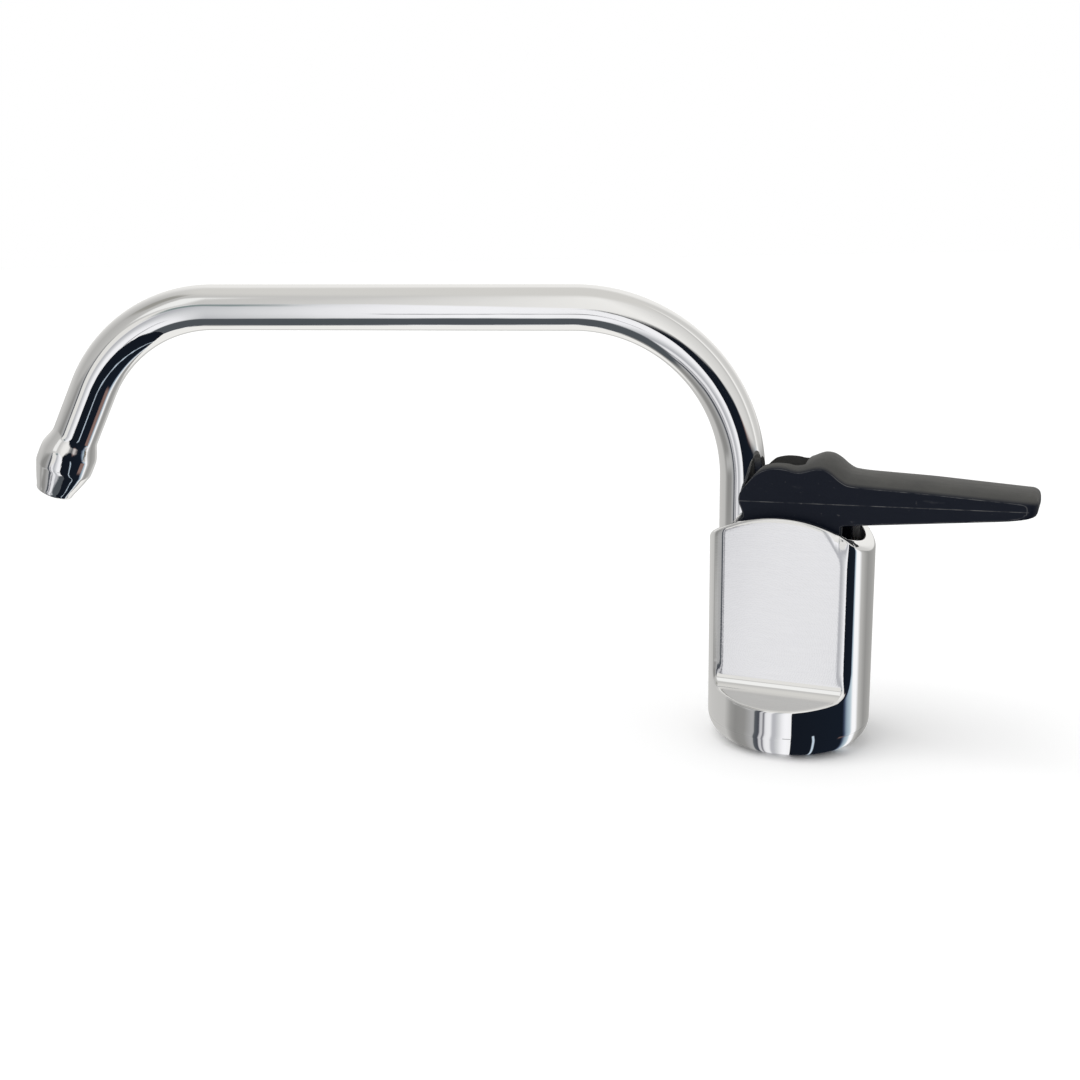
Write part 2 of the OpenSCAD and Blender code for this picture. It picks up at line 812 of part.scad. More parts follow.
// Bent run of the spout: stem, bend, arm, bend and outlet leg.
module spout_run(r, low, leg) {
    translate([0, 0, low])
        cylinder(r = r, h = arm_h - bend_one - low);
    translate([-bend_one, 0, arm_h - bend_one])
        rotate([90, 0, 0])
            rotate_extrude(angle = 90 - arm_rise)
                translate([bend_one, 0])
                    circle(r = r);
    at_arm()
        rotate([0, -90, 0])
            cylinder(r = r, h = arm_len);
    at_bend_two()
        rotate_extrude(angle = leg_angle)
            translate([bend_two_r, 0])
                circle(r = r);
    at_leg()
        translate([0, 0, -over / 2])
            cylinder(r = r + leg_step, h = leg + over / 2);
}

// Frame at the start of the arm, its X back along the arm.
module at_arm() {
    translate([-bend_one, 0, arm_h - bend_one])
        rotate([0, arm_rise, 0])
            translate([0, 0, bend_one])
                children();
}

module at_bend_two() {
    at_arm()
        translate([-arm_len, 0, -bend_two_r])
            rotate([90, 0, 0])
                rotate([0, 0, 90])
                    children();
}

// Frame at the start of the outlet leg, its Z along the leg.
module at_leg() {
    at_bend_two()
        rotate([0, 0, leg_angle])
            translate([bend_two_r, 0, 0])
                rotate([-90, 0, 0])
                    children();
}

module spout_bulb() {
    rotate_extrude()
        intersection() {
            translate([bulb_d / 2 - bulb_r, bulb_peak])
                circle(r = bulb_r, $fn = 2 * $fn);
            square([bulb_d, bulb_len]);
        }
}

module at_spout() {
    translate([hinge_x, 0, 0])
        rotate([0, 0, swivel_rest])
            children();
}

module spout_tube() {
    clip_groove = clip_h + 2 * groove_room;
    color("silver")
        at_spout()
            difference() {
                union() {
                    spout_run(tube_r, tube_z, leg_len + over);
                    at_leg()
                        translate([0, 0, leg_len])
                            spout_bulb();
                }
                spout_run(tube_in, tube_z - over, leg_len + insert_z);
                translate([0, 0, spigot_z + clip_rise - clip_groove / 2])
                    cylinder(r = tube_in + tube_wall / 2, h = clip_groove);
                at_leg()
                    translate([0, 0, leg_len])
                        cylinder(r = insert_r + seat_gap, h = bulb_len + over);
            }
}

module outlet_insert() {
    color("white")
        at_spout()
            at_leg()
                translate([0, 0, leg_len + insert_z])
                    difference() {
                        cylinder(r = insert_r, h = insert_len);
                        translate([0, 0, -over])
                            cylinder(d = insert_hole_d, h = insert_len + 2 * over);
                        for (turn = [0 : insert_holes - 1])
                            rotate([0, 0, turn * 360 / insert_holes])
                                translate([insert_r - insert_hole_d, 0, -over])
                                    cylinder(d = insert_hole_d, h = insert_len + 2 * over);
                    }
}

module lever_profile() {
    one = [hump_one_x, hump_one_z - hump_one_r];
    two = [hump_two_x, hump_two_z - hump_two_r];
    apart = norm(two - one);
    along = (two - one) / apart;
    one_far = hump_one_r + dip_r;
    two_far = hump_two_r + dip_r;
    reach = (one_far * one_far - two_far * two_far + apart * apart) / (2 * apart);
    rise = sqrt(one_far * one_far - reach * reach);
    dip = one + reach * along + rise * [-along[1], along[0]];
    one_end = atan2(dip[1] - one[1], dip[0] - one[0]);
    two_start = atan2(dip[1] - two[1], dip[0] - two[0]);
    far = [handle_x, handle_z] - two;
    two_end = atan2(far[1], far[0]) + acos(hump_two_r / norm(far));
    polygon(concat([[nose_x, nose_z], [nose_x, nose_z + nose_drop]],
        arc(one[0], one[1], hump_one_r, hump_start, one_end),
        arc(dip[0], dip[1], dip_r, one_end + 180, two_start + 180),
        arc(two[0], two[1], hump_two_r, two_start, two_end),
        [[handle_x, handle_z], [tip_x - tip_corner / 2, tip_z], [tip_x, tip_z - tip_corner / 2],
            [tip_x, tip_low_z + tip_corner], [tip_x - tip_corner, tip_low_z],
            [tip_x - 4 * tip_corner, tip_low_z - tip_corner / 2],
            [skirt_x, skirt_top_z], [skirt_x, skirt_low_z], [lever_pin_x + hub_r, skirt_low_z]],
        arc(lever_pin_x, lever_pin_z, hub_r, -asin((lever_pin_z - skirt_low_z) / hub_r), hub_end),
        [[nose_x - nose_drop, lever_pin_z + chin_rise], [nose_x - nose_drop, pocket_z - 2 * nose_drop],
            [nose_x + nose_drop, pocket_z]]));
}

module lever() {
    fork_x = nose_x - over;
    fork_top = hump_two_z + over;
    color("black")
        difference() {
            side_sheet(lever_w)
                lever_profile();
            side_sheet(2 * cheek_y)
                polygon([[fork_x - body_r, 0], [fork_x - body_r, fork_top],
                    [root_top_x + (fork_top - hump_one_z) * tan(lever_lift), fork_top],
                    [root_low_x, pocket_z], [skirt_x + over, pocket_z], [skirt_x + over, 0]]);
            rod_y(lever_pin_x, lever_pin_z, lever_pin_d / 2 + run_gap + bush_wall + seat_gap, lever_w);
            rod_y(valve_x, lift_pin_z, lift_pin_d / 2 + seat_gap, lever_w);
        }
}

module lever_pin() {
    color("lightgray")
        rod_y(lever_pin_x, lever_pin_z, lever_pin_d / 2, ear_out);
}

module lever_bushes() {
    bush_in = lever_pin_d / 2 + run_gap;
    color("ivory")
        for (side = [0, 1])
            mirror([0, side, 0])
                difference() {
                    rod_span(lever_pin_x, lever_pin_z, bush_in + bush_wall, cheek_y, lever_w / 2);
                    rod_span(lever_pin_x, lever_pin_z, bush_in, 0, lever_w);
                }
}

module lift_pin() {
    color("lightgray")
        rod_y(valve_x, lift_pin_z, lift_pin_d / 2, lever_w / 2 - seat_gap);
}

module switch_bracket() {
    plate_z = case_z + switch_h - head_sink;
    color("gainsboro")
        difference() {
            union() {
                translate([bracket_x0, bracket_y, column_top])
                    cube([switch_x + switch_len - bracket_x0, bracket_t, plate_z - column_top]);
                translate([bracket_x0, bracket_y, column_top])
                    cube([2 * (lever_pin_x - bracket_x0), low_y - free_gap - bracket_y, bracket_t]);
            }
            translate([valve_x - gland_head_d, 0, column_top - over])
                cube([2 * gland_head_d, low_y, gland_head_h + free_gap + over]);
            translate([lever_pin_x, bracket_screw_y, column_top - over])
                cylinder(r = bracket_screw_d / 2 + seat_gap, h = bracket_t + 2 * over);
            at_switch_screws(switch_screw_d / 2 + seat_gap, bracket_y - over, case_y + over);
        }
}

module at_switch_screws(r, y0, y1) {
    for (side = [-1, 1])
        rod_span(button_x + side * switch_screw_pitch / 2, switch_mid_z, r, y0, y1);
}

module bracket_screw() {
    color("lightgray")
        translate([lever_pin_x, bracket_screw_y, 0]) {
            translate([0, 0, column_top - bracket_screw_grip + head_sink])
                cylinder(d = bracket_screw_d, h = bracket_screw_grip + bracket_t);
            translate([0, 0, column_top + bracket_t])
                cylinder(d = 1.5 * bracket_screw_d, h = bracket_screw_d / 2);
        }
}

module switch_case() {
    color("darkred")
        difference() {
            translate([switch_x, case_y, case_z])
                cube([switch_len, switch_t, switch_h]);
            at_switch_screws(switch_screw_d / 2 + seat_gap, case_y - over, case_y + switch_t + over);
            translate([button_x, button_y, case_z + switch_h - button_pocket])
                cylinder(r = button_d / 2 + run_gap, h = button_pocket + over);
        }
}

module switch_screws() {
    color("lightgray") {
        at_switch_screws(switch_screw_d / 2, bracket_y, case_y + switch_t + seat_gap);
        at_switch_screws(0.75 * switch_screw_d, case_y + switch_t, case_y + switch_t + switch_screw_d / 2);
    }
}

module switch_button() {
    color("white")
        translate([button_x, button_y, case_z + switch_h - button_len])
            cylinder(d = button_d, h = button_len + button_h);
}

module switch_terminals() {
    color("gold")
        for (step = [-1, 0, 1])
            translate([button_x + step * switch_len / 3 - tab_w / 2, case_y + switch_t / 2,
                case_z - tab_len])
                cube([tab_w, tab_t, tab_len]);
}

body_shell();
inlet_seal();
cable_grommet();
manifold();
shell_screws();
valve_seat();
valve_plunger();
valve_washer();
valve_spring();
gland_nut();
plunger_oring();
hinge_pin();
pin_plug();
pin_orings();
friction_washers();
knuckle();
spigot_orings();
spout_clip();
spout_tube();
outlet_insert();
lever();
lever_pin();
lever_bushes();
lift_pin();
switch_bracket();
bracket_screw();
switch_case();
switch_screws();
switch_button();
switch_terminals();
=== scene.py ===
import math

import bpy
import numpy as np
from mathutils import Matrix, Vector


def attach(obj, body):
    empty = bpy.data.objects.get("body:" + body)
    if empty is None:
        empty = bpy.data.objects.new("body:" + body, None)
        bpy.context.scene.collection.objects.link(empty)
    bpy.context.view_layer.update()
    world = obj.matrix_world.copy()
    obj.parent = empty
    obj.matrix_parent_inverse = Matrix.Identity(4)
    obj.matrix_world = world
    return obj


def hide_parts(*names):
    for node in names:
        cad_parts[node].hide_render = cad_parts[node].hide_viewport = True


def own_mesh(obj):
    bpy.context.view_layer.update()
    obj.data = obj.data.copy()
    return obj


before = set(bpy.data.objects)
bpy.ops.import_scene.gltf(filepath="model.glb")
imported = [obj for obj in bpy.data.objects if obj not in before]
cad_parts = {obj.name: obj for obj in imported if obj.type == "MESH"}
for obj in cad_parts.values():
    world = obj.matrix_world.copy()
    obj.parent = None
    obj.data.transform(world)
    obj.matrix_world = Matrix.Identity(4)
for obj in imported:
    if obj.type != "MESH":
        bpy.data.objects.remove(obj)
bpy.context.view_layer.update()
bpy.ops.object.select_all(action="DESELECT")
mm = 0.001

# Studio: the camera stands a little right of the tap and above it, close enough to show
# perspective. A white floor runs out to a white surround, and a room of pale walls with dark
# openings is there only for the polished metal to mirror.
view_side, view_rise, view_roll = math.radians(24.31), math.radians(12.9), math.radians(-1.16)
aim, view_distance = Vector((-73.1, 0, 48.59)), 362.1
focal_pixels, image_pixels, sensor_width = 1253.19, 1080, 36
level = math.cos(view_rise)
back = Vector((math.sin(view_side) * level, -math.cos(view_side) * level, math.sin(view_rise)))
right = Vector((math.cos(view_side), math.sin(view_side), 0))
up = back.cross(right)
right_rolled = right * math.cos(view_roll) + up * math.sin(view_roll)
up_rolled = up * math.cos(view_roll) - right * math.sin(view_roll)
eye = aim * mm + back * view_distance * mm
bpy.ops.object.camera_add()
camera = bpy.context.object
facing = Matrix((right_rolled, up_rolled, back)).transposed().to_4x4()
camera.matrix_world = Matrix.Translation(eye) @ facing
camera.data.sensor_fit = "HORIZONTAL"
camera.data.sensor_width = sensor_width
camera.data.lens = sensor_width * focal_pixels / image_pixels
camera.data.clip_start = 0.01
bpy.context.scene.camera = camera
bpy.context.scene.view_settings.view_transform = "Standard"


def new_material(name, colour, roughness, metallic=0.0):
    """A plain material to add detail to: itself, its nodes, its links and its shader."""
    material = bpy.data.materials.new(name)
    material.use_nodes = True
    shader = material.node_tree.nodes["Principled BSDF"]
    shader.inputs["Base Color"].default_value = (*colour, 1)
    shader.inputs["Roughness"].default_value = roughness
    shader.inputs["Metallic"].default_value = metallic
    return material, material.node_tree.nodes, material.node_tree.links, shader


floor_size, floor_colour, floor_roughness = 40, (0.93, 0.93, 0.93), 0.9
bpy.ops.mesh.primitive_plane_add(size=floor_size, location=(0, 0, 0))
floor = bpy.context.object
floor.name = "floor"
floor_white, nodes, links, paint = new_material("floor_white", floor_colour, floor_roughness)
paint.inputs["Specular IOR Level"].default_value = 0
floor.data.materials.append(floor_white)

lamp_place, lamp_aim = (-0.35, -0.25, 0.75), Vector((-0.05, 0, 0.05))
lamp_spread, lamp_power = math.radians(50), 1.2
bpy.ops.object.light_add(type="SUN", location=lamp_place)
lamp = bpy.context.object
lamp.data.angle = lamp_spread
lamp.data.energy = lamp_power
lamp.rotation_euler = (lamp_aim - lamp.location).to_track_quat("-Z", "Y").to_euler()
lamp.visible_glossy = False

world = bpy.data.worlds.new("room")
bpy.context.scene.world = world
world.use_nodes = True
nodes, links = world.node_tree.nodes, world.node_tree.links
nodes.clear()


# The helpers for shading add to the node tree at hand, the one that nodes and links name.
def feed(socket, value):
    """Gives a socket a number, a colour or what another node puts out."""
    if isinstance(value, tuple):
        socket.default_value = (*value, 1)
    elif isinstance(value, (int, float)):
        socket.default_value = value
    else:
        links.new(value, socket)


def calc(operation, a, b=0.0, c=0.0):
    """One step of arithmetic on sockets or numbers."""
    step = nodes.new("ShaderNodeMath")
    step.operation = operation
    for socket, value in zip(step.inputs, (a, b, c)):
        feed(socket, value)
    return step.outputs[0]


def ramp(value, low, high, smooth=True):
    """0 below the low value, 1 above the high one; the other way round if low is above high."""
    step = nodes.new("ShaderNodeMapRange")
    step.interpolation_type = "SMOOTHSTEP" if smooth else "LINEAR"
    step.inputs["From Min"].default_value = min(low, high)
    step.inputs["From Max"].default_value = max(low, high)
    step.inputs["To Min"].default_value = 0 if low < high else 1
    step.inputs["To Max"].default_value = 1 if low < high else 0
    links.new(value, step.inputs["Value"])
    return step.outputs["Result"]


def blend(factor, a, b):
    """Mixes two colours, each a socket or a plain colour."""
    step = nodes.new("ShaderNodeMix")
    step.data_type = "RGBA"
    for name, value in (("Factor", factor), ("A", a), ("B", b)):
        feed(step.inputs[name], value)
    return step.outputs["Result"]


def axes_of(place):
    """The x, y and z of a place or a direction."""
    split = nodes.new("ShaderNodeSeparateXYZ")
    links.new(place, split.inputs[0])
    return split.outputs


def bearing_of(x, y):
    """Bearing from -Y towards +X, in degrees."""
    return calc("MULTIPLY", calc("ARCTAN2", x, calc("MULTIPLY", y, -1.0)), 180 / math.pi)


def look(direction):
    """Bearing and rise of a direction, in degrees."""
    x, y, z = axes_of(direction)
    return bearing_of(x, y), calc("MULTIPLY", calc("ARCSINE", z), 180 / math.pi)


def wall(bearing, stops):
    """Colours round the room, each at a bearing; a lone number is a slightly warm grey."""
    band = nodes.new("ShaderNodeValToRGB")
    links.new(ramp(bearing, -180, 180, smooth=False), band.inputs["Fac"])
    marks = band.color_ramp.elements
    for place, (angle, colour) in enumerate(stops):
        share = (angle + 180) / 360
        mark = marks[place] if place < 2 else marks.new(share)
        mark.position = share
        rgb = colour if isinstance(colour, tuple) else (colour, colour * 0.99, colour * 0.96)
        mark.color = (*rgb, 1)
    return band.outputs["Color"]


# The walls lean over, so that their edges slant where upright metal mirrors them.
lean_axis, lean_angle = math.radians(18.5), math.radians(-25)
way = nodes.new("ShaderNodeTexCoord")
lean = nodes.new("ShaderNodeVectorRotate")
lean.inputs["Axis"].default_value = (math.cos(lean_axis), math.sin(lean_axis), 0)
lean.inputs["Angle"].default_value = lean_angle
links.new(way.outputs["Generated"], lean.inputs["Vector"])
bearing, rise = look(way.outputs["Generated"])
lean_bearing, lean_rise = look(lean.outputs["Vector"])


def between(value, low, high, soft):
    """1 between two values and 0 outside them, with soft edges."""
    return calc("MULTIPLY", ramp(value, low - soft, low + soft), ramp(value, high + soft, high - soft))


def panel(left, right, low, high, soft, bearing=bearing, rise=rise):
    """Where a soft-edged panel hangs in the room, by its edges in degrees."""
    return calc("MULTIPLY", between(bearing, left, right, soft), between(rise, low, high, soft))


door_left, door_soft, door_colour = 18, 0.8, (0.007, 0.0095, 0.015)
streak_left, streak_right, streak_soft, streak_colour = 45.6, 48.4, 0.8, (0.55, 0.65, 0.74)
pale_stops = [
    (-180, 0.62), (19, (0.9, 0.9, 0.91)), (-78, 0.53), (-66, 0.32), (-58, 0.26), (-44, 0.28),
    (-33, (0.42, 0.42, 0.42)), (-31, (0.4, 0.4, 0.4)), (-29.5, (0.1, 0.11, 0.12)),
    (-24, (0.06, 0.065, 0.08)), (-22.5, (0.5, 0.5, 0.52)), (-20, (0.66, 0.66, 0.67)),
    (-18.7, (0.16, 0.16, 0.18)), (-17.6, (0.16, 0.16, 0.18)), (-15.5, (0.74, 0.74, 0.76)),
    (-12.5, (0.84, 0.84, 0.855)), (-8.6, (0.84, 0.84, 0.855)), (-6, (0.48, 0.485, 0.51)),
    (-3, (0.48, 0.485, 0.51)), (2, (0.66, 0.67, 0.68)), (6, (0.84, 0.84, 0.86)),
    (9, (0.92, 0.92, 0.94)), (12, (0.95, 0.95, 0.97)),
]
dark_stops = [
    (door_left, door_colour), (180, 0.45), (89, (0.008, 0.012, 0.02)), (92, (0.05, 0.07, 0.12)),
    (96, (0.3, 0.38, 0.45)), (102, (0.5, 0.6, 0.66)), (106, (0.97, 0.97, 0.98)),
    (113, (0.97, 0.97, 0.98)), (118, 0.5), (127, 0.37), (134, 0.3),
]
high_stops = [
    (-180, 0.9), (180, 0.9), (-130, 0.86), (-100, 0.63), (-62, 0.46), (-40, 0.49), (-10, 0.57),
    (2, 0.6), (10, 0.72), (18, 0.86), (30, 0.9), (42, 0.82), (60, 0.74), (88, 0.67), (97, 0.57),
    (101, 0.6), (105, 0.93), (110, 0.93), (115, 0.7), (130, 0.62), (150, 0.66), (166, 0.85),
]
wall_heights = [
    (-180, 0), (180, 0), (-30, 10), (-12, 17), (8, 17), (14, 6), (19, -4),
    (24, 3), (31, 9), (45, 11), (54, 8), (62, 1), (80, -1), (150, -3),
]


def sides(bearing):
    """The pale walls on the left and the dark doorway on the right."""
    past_edge = ramp(bearing, door_left, door_left + door_soft)
    return blend(past_edge, wall(bearing, pale_stops), wall(bearing, dark_stops))


room = sides(lean_bearing)
low_wall = calc("MULTIPLY", ramp(rise, -49, -55), panel(-95, 18.5, -100, 90, 0.3))
streak = panel(streak_left, streak_right, -80, -1, streak_soft, lean_bearing, lean_rise)
for hung, colour in (
    (low_wall, (0.08, 0.09, 0.1)),
    (panel(-20, -5, -7, 40, 2), (0.8, 0.79, 0.76)),
    (panel(-70, -38, -17.5, -14.5, 3.5), (0.56, 0.56, 0.55)),
    (panel(6, 17.6, -32, -29.6, 0.6), (0.34, 0.34, 0.35)),
    (panel(-190, -110, -95, -35, 5), (0.9, 0.89, 0.86)),
    (panel(97, 118, -47, -33, 2), (0.25, 0.16, 0.14)),
    (streak, streak_colour),
    (panel(58, 76, 0, 8, 3), (0.28, 0.18, 0.165)),
    (panel(-6, 4, 7, 15, 2), (0.24, 0.29, 0.285)),
):
    room = blend(hung, room, colour)
ceiling = wall(bearing, high_stops)
for hung, colour in (
    (ramp(rise, 50, 70), (0.67, 0.66, 0.63)),
    (panel(-22, -5, 22, 48, 3), (0.9, 0.9, 0.88)),
    (panel(-62, -36, 40, 60, 4), (0.33, 0.325, 0.3)),
):
    ceiling = blend(hung, ceiling, colour)
wall_top = wall(bearing, [(angle, ((height + 90) / 180,) * 3) for angle, height in wall_heights])
above = calc("SUBTRACT", calc("ADD", rise, 90.0), calc("MULTIPLY", wall_top, 180.0))
room = blend(ramp(above, -3, 4), room, ceiling)

fill_light, seen_white = (0.86, 0.86, 0.86), (1, 1, 1)
ray = nodes.new("ShaderNodeLightPath").outputs
mirrored = calc("MAXIMUM", ray["Is Glossy Ray"], ray["Is Transmission Ray"])
plain = blend(ray["Is Camera Ray"], fill_light, seen_white)
surround = nodes.new("ShaderNodeBackground")
links.new(blend(mirrored, plain, room), surround.inputs["Color"])
out = nodes.new("ShaderNodeOutputWorld")
links.new(surround.outputs[0], out.inputs["Surface"])


def object_place():
    """The place on the object."""
    return nodes.new("ShaderNodeTexCoord").outputs["Object"]


def from_axis(x, y):
    """Distance from the Z axis."""
    return calc("SQRT", calc("ADD", calc("MULTIPLY", x, x), calc("MULTIPLY", y, y)))


def mix_shaders(factor, a, b):
    """Mixes two shaders."""
    step = nodes.new("ShaderNodeMixShader")
    for socket, value in zip(step.inputs, (factor, a, b)):
        links.new(value, socket)
    return step.outputs[0]


# A mirror sees through the floor into the room, but round the foot of the tap it sees a mat
# that carries the room's walls on, drawn closer together towards the middle.
mat_full, mat_end = 26, 29
mat_middle, room_middle = 9.35, 9.0
middle_closeness, closeness_change = 2.03, -23.1
nodes, links = floor_white.node_tree.nodes, floor_white.node_tree.links
x, y, _ = axes_of(object_place())
away = from_axis(x, y)
closeness = calc("MULTIPLY_ADD", away, closeness_change, middle_closeness)
from_middle = calc("SUBTRACT", bearing_of(x, y), mat_middle)
mat_bearing = calc("MULTIPLY_ADD", from_middle, closeness, room_middle)
mat_streak = between(mat_bearing, streak_left, streak_right, streak_soft)
mat = nodes.new("ShaderNodeEmission")
links.new(blend(mat_streak, sides(mat_bearing), streak_colour), mat.inputs["Color"])
clear = nodes.new("ShaderNodeBsdfTransparent")
seen_mat = mix_shaders(ramp(away, mat_end * mm, mat_full * mm), clear.outputs[0], mat.outputs[0])
ray = nodes.new("ShaderNodeLightPath").outputs
floor_seen = mix_shaders(ray["Is Glossy Ray"], paint.outputs[0], seen_mat)
links.new(floor_seen, nodes["Material Output"].inputs["Surface"])

# Brass works: the manifold and the knuckle are cast and then bored and turned; the seat, plunger,
# gland nut and pin plug are turned from bar. The inlet boss is tapped from below.
brass_colour, cast_colour = (0.62, 0.43, 0.19), (0.42, 0.29, 0.13)
turned_dark, turned_light = (0.5, 0.34, 0.14), (0.7, 0.5, 0.24)
thread_pitch, thread_height, sand_height = 1.337, 8.0, 0.4


def noise(place, scale, detail=3.0, rough=0.5, stretch=(1, 1, 1), offset=(0, 0, 0)):
    """Cloudy value over a stretched place."""
    laid = nodes.new("ShaderNodeMapping")
    laid.inputs["Scale"].default_value = stretch
    laid.inputs["Location"].default_value = offset
    links.new(place, laid.inputs["Vector"])
    grain = nodes.new("ShaderNodeTexNoise")
    grain.inputs["Scale"].default_value = scale
    grain.inputs["Detail"].default_value = detail
    grain.inputs["Roughness"].default_value = rough
    links.new(laid.outputs["Vector"], grain.inputs["Vector"])
    return grain.outputs["Fac"]


def bump(height, distance, strength=1.0, under=None):
    """Raises the surface by a height that runs from 0 to 1."""
    step = nodes.new("ShaderNodeBump")
    step.inputs["Strength"].default_value = strength
    step.inputs["Distance"].default_value = distance
    links.new(height, step.inputs["Height"])
    if under is not None:
        links.new(under, step.inputs["Normal"])
    return step.outputs["Normal"]


def finish(material, *names):
    """Gives CAD pieces a material."""
    for name in names:
        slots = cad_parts[name].data.materials
        for place in range(len(slots)):
            slots[place] = material


cast_brass, nodes, links, metal = new_material("cast_brass", cast_colour, 0.45, 1)
spot = object_place()
x, y, z = axes_of(spot)
cloud = noise(spot, scale=160, detail=5, rough=0.6)
links.new(blend(ramp(cloud, 0.35, 0.7), cast_colour, brass_colour), metal.inputs["Base Color"])
links.new(calc("MULTIPLY_ADD", cloud, 0.3, 0.26), metal.inputs["Roughness"])
in_bore = calc("MULTIPLY", ramp(from_axis(x, y), 4.9 * mm, 4.7 * mm), ramp(z, 12.2 * mm, 11.8 * mm))
winding = calc("MULTIPLY", calc("ARCTAN2", y, x), 1 / (2 * math.pi))
thread = calc("PINGPONG", calc("MULTIPLY_ADD", z, 1 / (thread_pitch * mm), winding), 0.5)
sand = noise(spot, scale=1500, detail=3, rough=0.7)
tapped = calc("MULTIPLY", calc("MULTIPLY", thread, in_bore), thread_height)
height = calc("ADD", tapped, calc("MULTIPLY", sand, sand_height))
links.new(bump(height, 0.1 * mm), metal.inputs["Normal"])
finish(cast_brass, "manifold", "knuckle")

turned_brass, nodes, links, metal = new_material("turned_brass", brass_colour, 0.22, 1)
spot = object_place()
lines = noise(spot, scale=1, detail=3, rough=0.6, stretch=(200, 200, 9000))
stain = noise(spot, scale=300, detail=4)
links.new(bump(lines, 0.01 * mm), metal.inputs["Normal"])
links.new(calc("MULTIPLY_ADD", lines, 0.2, 0.14), metal.inputs["Roughness"])
links.new(blend(stain, turned_dark, turned_light), metal.inputs["Base Color"])
finish(turned_brass, "valve_seat", "valve_plunger", "gland_nut", "pin_plug")

# Steel pins, screws, clip, bracket and switch tabs: bright stainless, turned or pressed, with
# fine marks. They are pressed, screwed or snapped into place.
steel_colour, steel_dark, steel_light = (0.6, 0.6, 0.58), (0.48, 0.48, 0.47), (0.66, 0.66, 0.64)
steel, nodes, links, metal = new_material("steel", steel_colour, 0.25, 1)
spot = object_place()
lines = noise(spot, scale=1, detail=3, rough=0.6, stretch=(6000, 300, 6000))
stain = noise(spot, scale=240, detail=4, rough=0.6)
links.new(bump(lines, 0.006 * mm), metal.inputs["Normal"])
links.new(calc("MULTIPLY_ADD", stain, 0.22, 0.14), metal.inputs["Roughness"])
links.new(blend(stain, steel_dark, steel_light), metal.inputs["Base Color"])
finish(steel, "shell_screws", "hinge_pin", "spout_clip", "lever_pin", "lift_pin")
finish(steel, "switch_bracket", "bracket_screw", "switch_screws", "switch_terminals")

# Valve spring: stainless wire wound as an open coil round the plunger, between its flange and
# the gland nut. It shortens as the lever lifts the plunger.
coil_x, coil_r, wire_r, coil_low, coil_high, coil_turns = 10, 2.8, 0.25, 23.9, 31, 5
wire_sides, steps_per_turn = 16, 48
bpy.ops.mesh.primitive_circle_add(
    vertices=wire_sides, radius=wire_r * mm, location=(coil_r * mm, 0, 0), rotation=(math.pi / 2, 0, 0)
)
spring = bpy.context.object
spring.name = "coil_spring"
bpy.ops.object.transform_apply(location=True, rotation=True, scale=True)
bpy.ops.object.modifier_add(type="SCREW")
winder = spring.modifiers[-1]
winder.axis = "Z"
winder.angle = 2 * math.pi
winder.screw_offset = (coil_high - coil_low - 2 * wire_r) * mm / coil_turns
winder.iterations = coil_turns
winder.steps = winder.render_steps = steps_per_turn
winder.use_merge_vertices = True
winder.merge_threshold = 1e-6
bpy.ops.object.modifier_apply(modifier=winder.name)
bpy.ops.object.mode_set(mode="EDIT")
bpy.ops.mesh.select_all(action="SELECT")
bpy.ops.mesh.fill_holes(sides=0)
bpy.ops.mesh.select_all(action="SELECT")
bpy.ops.mesh.normals_make_consistent(inside=False)
bpy.ops.object.mode_set(mode="OBJECT")
spring.location = (coil_x * mm, 0, (coil_low + wire_r) * mm)
bpy.ops.object.transform_apply(location=True, rotation=True, scale=True)
bpy.ops.object.shade_smooth_by_angle(angle=math.radians(40))
spring.data.materials.append(steel)
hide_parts("valve_spring")
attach(spring, "base")
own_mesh(spring)

# Rubber seals: moulded rings, washer and grommet in black rubber, matt with a little bloom.
# They sit in grooves and holes or lie between the faces that they seal.
rubber_colour, rubber_dark, rubber_bloom = (0.018, 0.018, 0.018), (0.015, 0.015, 0.016), (0.05, 0.05, 0.05)
rubber, nodes, links, skin = new_material("rubber", rubber_colour, 0.7)
spot = object_place()
bloom = noise(spot, scale=500, detail=5, rough=0.65)
links.new(blend(ramp(bloom, 0.45, 0.75), rubber_dark, rubber_bloom), skin.inputs["Base Color"])
links.new(bump(noise(spot, scale=2600, detail=2), 0.02 * mm), skin.inputs["Normal"])
finish(rubber, "inlet_seal", "cable_grommet", "valve_washer", "plunger_oring", "pin_orings", "spigot_orings")

# Plastic bearings and outlet insert: natural acetal, turned or moulded, slightly waxy. The
# washers lie beside the knuckle, the bushes in the lever, and the insert is pushed into the spout.
acetal_colour, acetal_dark, acetal_light = (0.78, 0.76, 0.7), (0.72, 0.7, 0.63), (0.84, 0.82, 0.77)
acetal, nodes, links, skin = new_material("acetal", acetal_colour, 0.4)
spot = object_place()
flow = noise(spot, scale=220, detail=4, rough=0.6)
links.new(blend(flow, acetal_dark, acetal_light), skin.inputs["Base Color"])
links.new(calc("MULTIPLY_ADD", flow, 0.25, 0.28), skin.inputs["Roughness"])
links.new(bump(noise(spot, scale=1800, detail=3), 0.01 * mm), skin.inputs["Normal"])
finish(acetal, "friction_washers", "outlet_insert", "lever_bushes")

# Pump switch: a small sealed switch, case and button moulded in dark red plastic. Two screws
# hold it to its bracket.
red_colour, red_dark, red_light = (0.12, 0.012, 0.01), (0.09, 0.009, 0.008), (0.16, 0.018, 0.014)
switch_red, nodes, links, skin = new_material("switch_red", red_colour, 0.4)
spot = object_place()
flow = noise(spot, scale=400, detail=4, rough=0.6)
links.new(blend(flow, red_dark, red_light), skin.inputs["Base Color"])
links.new(bump(noise(spot, scale=2200, detail=2), 0.015 * mm), skin.inputs["Normal"])
finish(switch_red, "switch_case", "switch_button")

